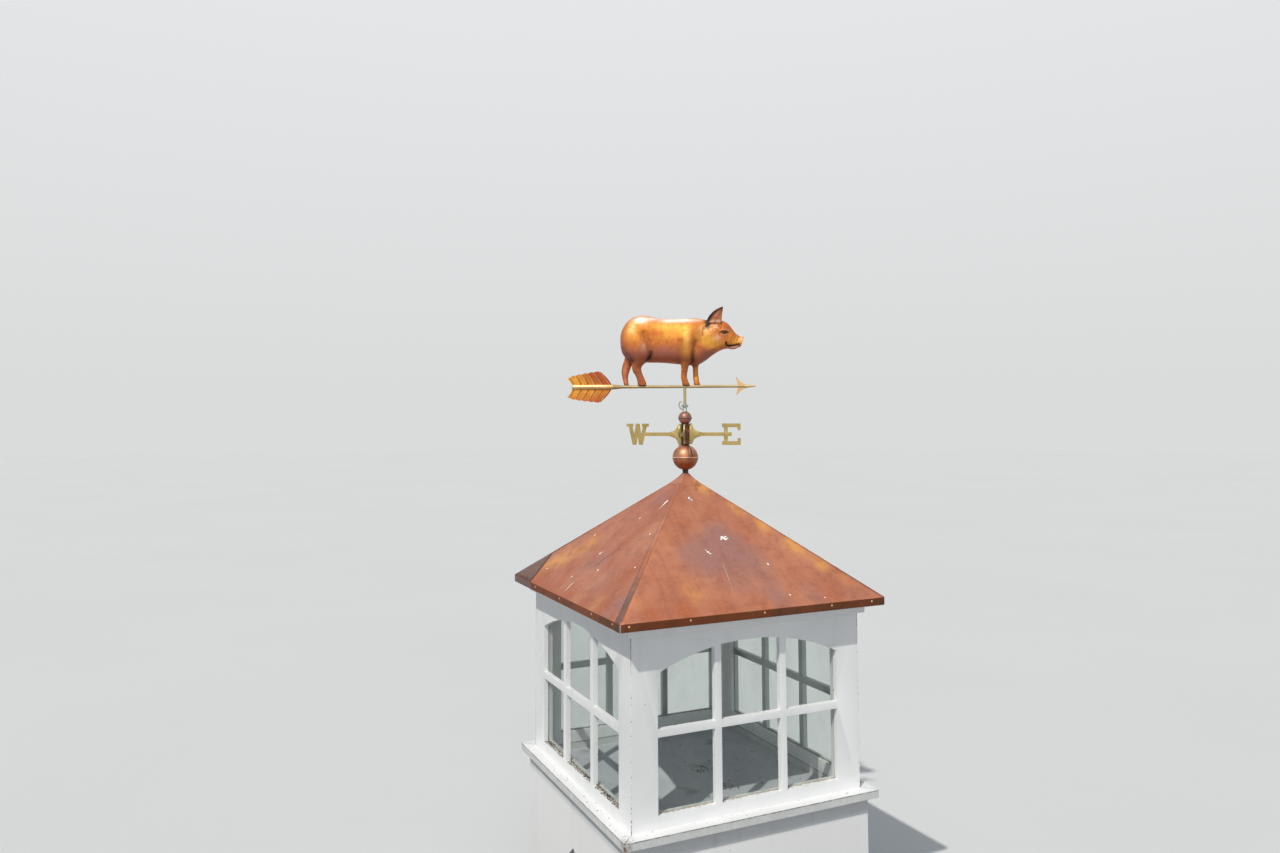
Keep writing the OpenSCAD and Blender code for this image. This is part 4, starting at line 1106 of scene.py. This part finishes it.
FAR_FORE = [
    [0, 36.5, 62.5, 5, 8], [14, 35, 58, 6, 8.5], [30, 33, 55.5, 8.5, 9],
    [45, 33, 54, 11, 10], [62, 32.5, 53.5, 15, 12], [80, 31, 54, 20, 15],
    [100, 28, 58, 27, 19], [125, 22, 66, 35, 23], [152, 14, 68, 41, 26],
    [178, 6, 62, 43, 25], [205, 6, 50, 42, 20], [228, 12, 38, 38, 12],
]
EAR = [
    [226, 94, 140, 22, 9], [240, 88, 145, 29, 8], [254, 88.5, 147, 34, 6],
    [268, 95, 148, 37, 4.6], [282, 106, 150, 38.5, 4], [294, 121, 152, 39, 3.4],
    [302, 134, 153, 38.5, 2.6], [308, 150, 153.5, 38, 1.4],
]


def bulge(x, power):
    return (1 if x > 0 else -1) * abs(x) ** power


def lofted(rows, around, steps, power, place):
    """A closed skin over rows. place gives the point of a row at two shares of its reach."""
    def ring_point(angle, j):
        return place(row_between(rows, j / steps), bulge(cos(angle), power), bulge(sin(angle), power))
    return skinned(around, (len(rows) - 1) * steps, ring_point, 1e-3)


def barrel_point(row, across, up):
    x, low, high, half, lean = row
    rise = (high - low) / 2 * up
    return Vector((x + lean * rise, half * across, (high + low) / 2 + rise))


def limb(rows, side):
    def place(row, along, across):
        z, back, front, centre, half = row
        return Vector(((back + front) / 2 + (front - back) / 2 * along, side * centre + half * across, z))
    return lofted(rows, 40, 6, 0.88, place)


# Strokes of the chaser's tools on each side of the figure: a path of (x, z), its half width, its height or
# depth, how dark it is painted, as patina and painted shade (or below zero how bright, as a painted
# highlight), and how far forward it lies on the far side
STROKES = (
    # Haunch, flank and hock
    (((-156, 204), (-150, 188), (-139, 165), (-131, 137), (-132, 113), (-146, 95)), 10, -5.5, 0.2, 0),
    (((-200, 220), (-186, 190), (-172, 160), (-160, 130)), 27, 6, 0, 0),
    (((-112, 205), (-104, 165), (-102, 130)), 22, -3.5, 0, 0),
    (((-128, 128), (-134, 108), (-150, 92)), 6, -2.5, 0.5, 0),
    (((-244, 140), (-226, 114), (-206, 90)), 11, -3.5, 0.25, -20),
    (((-70, 215), (-62, 170), (-66, 128)), 28, 2.5, 0, 0),
    # Shoulder and upper arm
    (((-15, 168), (-18, 135), (-19, 92)), 10, -3.0, 0.14, 46),
    (((17, 206), (11, 172), (4, 122), (1, 88)), 23, 4.2, 0, 46),
    (((45, 166), (40, 144), (34, 117), (27, 78)), 8.5, -4.6, 0.42, 40),
    (((56, 226), (66, 192), (60, 150)), 14, -1.7, 0.05, 0),
    # Cheek, jowl and neck
    (((108, 196), (120, 178)), 27, 4.6, 0, 0),
    (((66, 150), (92, 135), (121, 145), (150, 156)), 11, 2.6, 0, 0),
    (((80, 216), (88, 231), (104, 240), (126, 240), (146, 226)), 4.2, -1.7, 0.3, 0),
    (((86, 222), (96, 233), (112, 235), (130, 231)), 3.4, 1.5, -0.34, 0),
    (((82, 238), (96, 245), (112, 246)), 2.4, 1.0, -0.36, 0),
    (((104, 218), (118, 224), (136, 222)), 2.4, 0.9, -0.32, 0),
    (((88, 228), (100, 239), (118, 240)), 2.2, -0.9, 0.3, 0),
    (((76, 226), (73, 208), (72, 192)), 3.4, -1.5, 0.38, 0),
    (((94, 222), (100, 206), (112, 199)), 3.6, -1.0, 0.16, 0),
    (((112, 224), (114, 210), (126, 203)), 3.6, -1.0, 0.12, 0),
    # Eye: socket, brow, lower lid and the lines of both lids
    (((144, 204), (156, 203), (168, 205)), 9.5, -3.2, 0.22, 0),
    (((141, 211), (152, 214.5), (164, 214), (176, 212)), 4.2, 2.8, -0.1, 0),
    (((147, 198), (156, 195.5), (167, 198)), 3.2, 1.8, -0.12, 0),
    (((145, 206.5), (153, 208.6), (163, 207.8), (172, 204.5)), 2.3, -1.1, 0.95, 0),
    (((148, 201.5), (156, 199.8), (165, 201.5)), 1.7, -0.6, 0.7, 0),
    # Mouth, lower lip and muzzle
    (((163, 165), (165, 156), (173, 152.4), (188, 153.3), (203, 156), (213, 159)), 4.0, -4.0, 1.3, 0),
    (((168, 148), (178, 145.5), (192, 146.5), (208, 150.5)), 3.6, 2.2, -0.3, 0),
    (((159, 170), (157, 158), (162, 147)), 5, 2.0, 0, 0),
    (((213, 190), (207, 175), (203, 162)), 3.0, -1.5, 0.3, 0),
    (((203, 188), (198, 175), (196, 164)), 2.8, -1.0, 0.18, 0),
    (((190, 197), (184, 187), (178, 173)), 8, 2.0, 0, 0),
    # Ear: its two hollows and its rolled edges
    (((96, 246), (104, 262), (118, 281), (136, 296), (148, 301)), 9, -3.0, 0.1, 0),
    (((122, 240), (134, 262), (146, 284)), 7, -2.0, 0.1, 0),
    (((90, 232), (88.5, 246), (92, 260), (101, 275), (114, 288), (130, 299), (150, 307)), 9.5, 0.9, 0.95, 0),
    (((150, 304), (153, 284), (149, 258), (143, 238)), 3.6, 0.8, 0.6, 0),
)

# How its finish has weathered, with painted highlights and painted shade among it: for each field a centre
# (x, z), its reach along and up, and a strength
STAINS = {
    "painted_highlight": (
        (-172, 257, 26, 14, 1.0), (-128, 262, 36, 8, 0.6), (-58, 254, 36, 9, 1.0), (0, 256, 34, 9, 1.0),
        (52, 256, 26, 8, 0.4), (124, 250, 26, 6, 0.4), (128, 184, 15, 12, 0.25), (-158, 152, 6, 15, 0.22),
        (12, 180, 9, 30, 0.08), (219, 178, 6, 10, 0.2), (-208, 222, 14, 24, 0.18), (86, 216, 20, 16, 0.2),
        (132, 268, 10, 20, 0.1)),
    "gold": (
        (-206, 212, 26, 42, 0.9), (-90, 228, 62, 16, 0.8), (-20, 214, 48, 22, 0.9), (6, 156, 18, 52, 1.0),
        (98, 170, 34, 17, 0.8), (84, 218, 34, 24, 0.9), (74, 182, 30, 18, 0.7), (205, 170, 24, 18, 1.0),
        (-66, 190, 40, 16, 0.7), (112, 156, 34, 14, 0.7), (46, 45, 12, 38, 0.6)),
    "red": (
        (-112, 202, 24, 9, 0.8), (-48, 196, 42, 7, 0.4), (-92, 178, 34, 9, 0.4), (50, 242, 26, 8, 0.6),
        (18, 126, 10, 26, 0.4), (-222, 160, 16, 14, 0.7), (60, 160, 26, 10, 0.5), (168, 226, 14, 10, 0.5),
        (-96, 92, 40, 6, 0.5)),
    "plum": (
        (-72, 126, 62, 26, 1.0), (-155, 136, 20, 24, 1.0), (-205, 122, 30, 26, 0.9), (74, 112, 34, 26, 1.0),
        (-243, 152, 9, 24, 0.9), (176, 222, 12, 10, 0.4), (100, 134, 24, 8, 0.4), (-180, 50, 26, 46, 0.5),
        (-236, 50, 20, 46, 0.35), (152, 196, 16, 12, 0.35), (60, 205, 10, 40, 0.3), (6, 42, 10, 34, 0.4),
        (128, 274, 16, 24, 0.45)),
    "dark": (
        (-142, 106, 8, 8, 0.5), (33, 106, 7, 30, 0.35), (-210, 96, 12, 10, 0.4)),
}


def distance_to(path, flat):
    """Distance of each flat point to a path."""
    best = np.full(len(flat), 1e9)
    for a, b in zip(path, path[1:]):
        a, b = np.array(a, float), np.array(b, float)
        along = np.clip((flat - a) @ (b - a) / ((b - a) @ (b - a)), 0, 1)
        best = np.minimum(best, np.linalg.norm(flat - a - along[:, None] * (b - a), axis=1))
    return best


def soft_step(low, high, values):
    t = np.clip((values - low) / (high - low), 0, 1)
    return t * t * (3 - 2 * t)


def fused_pig():
    """The lofts joined by a 2 mm voxel remesh, with the joins of legs and neck rubbed smooth."""
    parts = [lofted(BODY_ROWS, 72, 5, 0.82, barrel_point)]
    for rows, side in ((NEAR_HIND, -1), (FAR_HIND, 1), (NEAR_FORE, -1), (FAR_FORE, 1), (EAR, -1), (EAR, 1)):
        parts.append(limb(rows, side))
    mesh = mesh_from("rough_pig", merged(parts))
    rough = stand("rough_pig", mesh)
    fuse = rough.modifiers.new("fuse", "REMESH")
    fuse.mode = "VOXEL"
    fuse.voxel_size = 2.0
    solid = bpy.data.meshes.new_from_object(rough.evaluated_get(bpy.context.evaluated_depsgraph_get()))
    bpy.data.objects.remove(rough)
    bm = bmesh.new()
    bm.from_mesh(solid)
    bpy.data.meshes.remove(mesh)
    bpy.data.meshes.remove(solid)
    joins = [v for v in bm.verts if v.co.x < 84 and 60 < v.co.z < 272]
    for verts, rounds in ((joins, 26), (bm.verts, 3)):
        for _ in range(rounds):
            bmesh.ops.smooth_vert(bm, verts=verts, factor=0.5, use_axis_x=True, use_axis_y=True,
                                  use_axis_z=True)
    return bm


def pig():
    """The full-bodied figure: chased with the strokes, then toned as its copper has weathered, with painted
    highlights and shade.
    """
    mesh = settle("copper_pig", fused_pig(), PIG, "pig", 0, "vane").data
    mesh.shade_smooth()
    at, normal = points_of(mesh), np.empty(len(mesh.vertices) * 3)
    mesh.vertex_normals.foreach_get("vector", normal)
    normal = normal.reshape(-1, 3)
    x, y, z = at.T
    flat = at[:, (0, 2)]
    push = np.zeros(len(x))
    fields = {name: np.zeros(len(x)) for name in ("dark", "painted_highlight", "gold", "red", "plum")}
    dark, painted_highlight, plum = fields["dark"], fields["painted_highlight"], fields["plum"]
    for side in (-1, 1):
        facing = np.clip(side * normal[:, 1] * 3, 0, 1) * (y * side > 0)
        for path, width, height, tint, forward in STROKES:
            moved = [(px + (forward if side == 1 else 0), pz) for px, pz in path]
            near = np.exp(-(distance_to(moved, flat) / width) ** 2) * facing
            push += near * height
            # Dark patina in the strokes, and painted shade that spreads past the broad hollows; bright
            # strokes are painted highlights
            dark += (near ** 0.6 if width > 8 else near) * max(0, tint)
            painted_highlight += near * max(0, -tint)
        nostril = np.exp(-(np.hypot(y - side * 6.5, z - 171) / 3.4) ** 2) * (x > 221)
        push -= 4.0 * nostril
        dark += nostril
    front = np.clip(normal[:, 0] * 2, 0, 1)
    hoof = soft_step(16, 12, z)
    push -= 1.2 * np.exp(-((z - 14.5) / 1.8) ** 2)
    for centre in (-9, 9):
        push -= 1.8 * front * hoof * np.exp(-((y - centre) / 1.6) ** 2)
    # The two halves are soldered along the spine and the belly
    seam = np.exp(-(y / 1.6) ** 2) * (z > 60) * (x < 222)
    push += 0.5 * seam
    for field, spots in STAINS.items():
        for centre_x, centre_z, along, up, strength in spots:
            fields[field] += strength * np.exp(-((x - centre_x) / along) ** 2 - ((z - centre_z) / up) ** 2)
    dark += 0.3 * seam * soft_step(0.2, -0.5, normal[:, 2]) * (z > 78) * (x < 205)
    # A painted highlight round the rim of the snout
    painted_highlight += 0.15 * soft_step(221, 225, x) * (1 - front) * (z > 144)
    dark += 0.28 * hoof
    # Painted shade on the faces that turn downwards, low on the figure
    dark += 0.25 * soft_step(-0.1, -0.7, normal[:, 2]) * (z < 130)
    # The ears and the head behind them are darker from 248 mm up, and the insides of the legs get painted
    # shade
    dark += 0.2 * soft_step(248, 262, z) * (x > 84)
    dark += 0.25 * (z < 92) * np.clip(-np.sign(y) * normal[:, 1] * 1.5, 0, 1)
    # Plum is painted on the faces that turn downwards, as shade, and over the rump's end
    plum += 0.35 * soft_step(-0.2, -0.8, normal[:, 2]) + 0.5 * soft_step(-225, -252, x)
    mesh.vertices.foreach_set("co", (at + normal * push[:, None]).ravel())
    for name, field in fields.items():
        paint(mesh, name, np.clip(field, 0, 1))
    mesh.transform(PIG_PLACE)
    mesh.update()


pig()

bm = bmesh.new()
for side in (-1, 1):
    place = (PIG_PLACE @ Matrix.Translation((156.5, side * 32.4, 203.6))
             @ Matrix.Rotation(radians(side * 4), 4, "Y") @ Matrix.Diagonal((6.0, 2.4, 2.3, 1)))
    bmesh.ops.create_uvsphere(bm, u_segments=16, v_segments=10, radius=1, matrix=place)
settle("pig_eyes", bm, COLLAR, None, 30, "vane")


# Stage

def seen_by_the_eye(tree):
    """1 for what the camera sees, also in gloss and through glass, and 0 for light that bounces."""
    path = add(tree, "LightPath").outputs
    seen = add(tree, "Math", {0: path["Is Camera Ray"], 1: path["Is Glossy Ray"]}, operation="MAXIMUM")
    return add(tree, "Math", {0: seen, 1: path["Is Transmission Ray"]}, operation="MAXIMUM")


# A wide pale floor that fades to the backdrop
coat = Coat("pale_studio_floor", "#d3d4d3")
coat.wash("#d1d2d1", coat.patches(1.5, 0.3, 0.7))
pale = coat.colour
# Round the foot it throws back as little light as dark roofing would
away = coat.add("VectorMath", {0: coat.place}, operation="LENGTH").outputs["Value"]
coat.colour = "#2c2d2f"
coat.wash("#9c9d9e", coat.add("MapRange", {"Value": away, "From Min": 1.1, "From Max": 1.5}))
coat.wash(pale, seen_by_the_eye(coat.made.node_tree))
bm = bmesh.new()
bmesh.ops.create_circle(bm, cap_ends=True, radius=60, segments=96)
bmesh.ops.translate(bm, verts=bm.verts, vec=(0, 0, -0.5 * mm))
floor = stand("studio_floor", mesh_from("studio_floor", bm))
floor.data.materials.append(coat.done(0.9))

world = bpy.data.worlds.new("studio")
bpy.context.scene.world = world
world.use_nodes = True
tree = world.node_tree
tree.nodes.clear()
height = add(tree, "SeparateXYZ", {"Vector": add(tree, "TexCoord").outputs["Generated"]}).outputs["Z"]
share = add(tree, "MapRange", {"Value": height, "From Min": -0.1, "From Max": 1.0})
sky = add(tree, "ValToRGB", {"Fac": share})
ramp = sky.color_ramp.elements
for _ in range(2):
    ramp.new(0.5)
stops = ((0.0, "#dadcdb"), (0.12, "#dadcdc"), (0.4, "#e2e4e5"), (1.0, "#f7f8f8"))
for stop, (at, colour) in zip(ramp, stops):
    stop.position = at
    stop.color = linear(colour)
ambient = add(tree, "Background", {"Color": "#d3e2f2", "Strength": 0.31})
shown = add(tree, "Background", {"Color": sky, "Strength": 1.0})
surface = add(tree, "MixShader", {0: seen_by_the_eye(tree), 1: ambient, 2: shown})
add(tree, "OutputWorld", {"Surface": surface})


def lamp(name, energy, spread, direction, colour=(1, 1, 1)):
    """A far lamp in a direction. Its spread in degrees softens its shadows."""
    light = bpy.data.lights.new(name, "SUN")
    light.energy = energy
    light.angle = radians(spread)
    light.color = colour
    stand(name, light).rotation_euler = Vector(direction).to_track_quat("Z", "Y").to_euler()


# The key lamp stands high to the front left, as the daylight does in the photograph
lamp("key", 2.6, 0.9, (-0.658, -0.469, 1.0), (1.0, 0.962, 0.92))
# A broad soft lamp overhead, which lays a wide sheen on the copper's upper faces
lamp("overhead", 0.48, 60, (-0.22, -0.38, 1.0))
# A low soft lamp from the front, which reaches through the windows to the boards inside
lamp("fill", 0.52, 45, (-0.40, -0.88, 0.24))

camera = bpy.data.cameras.new("camera")
camera.sensor_fit = "HORIZONTAL"
camera.sensor_width = 36
camera.lens = 25.732
camera.shift_x = 0.01655
camera.shift_y = -0.04805
viewer = stand("camera", camera)
viewer.location = (-1.74355, -3.17805, 1.92385)
viewer.rotation_euler = (radians(93.526), radians(0.191), radians(-24.619))
bpy.context.scene.camera = viewer
bpy.context.scene.view_settings.view_transform = "Standard"
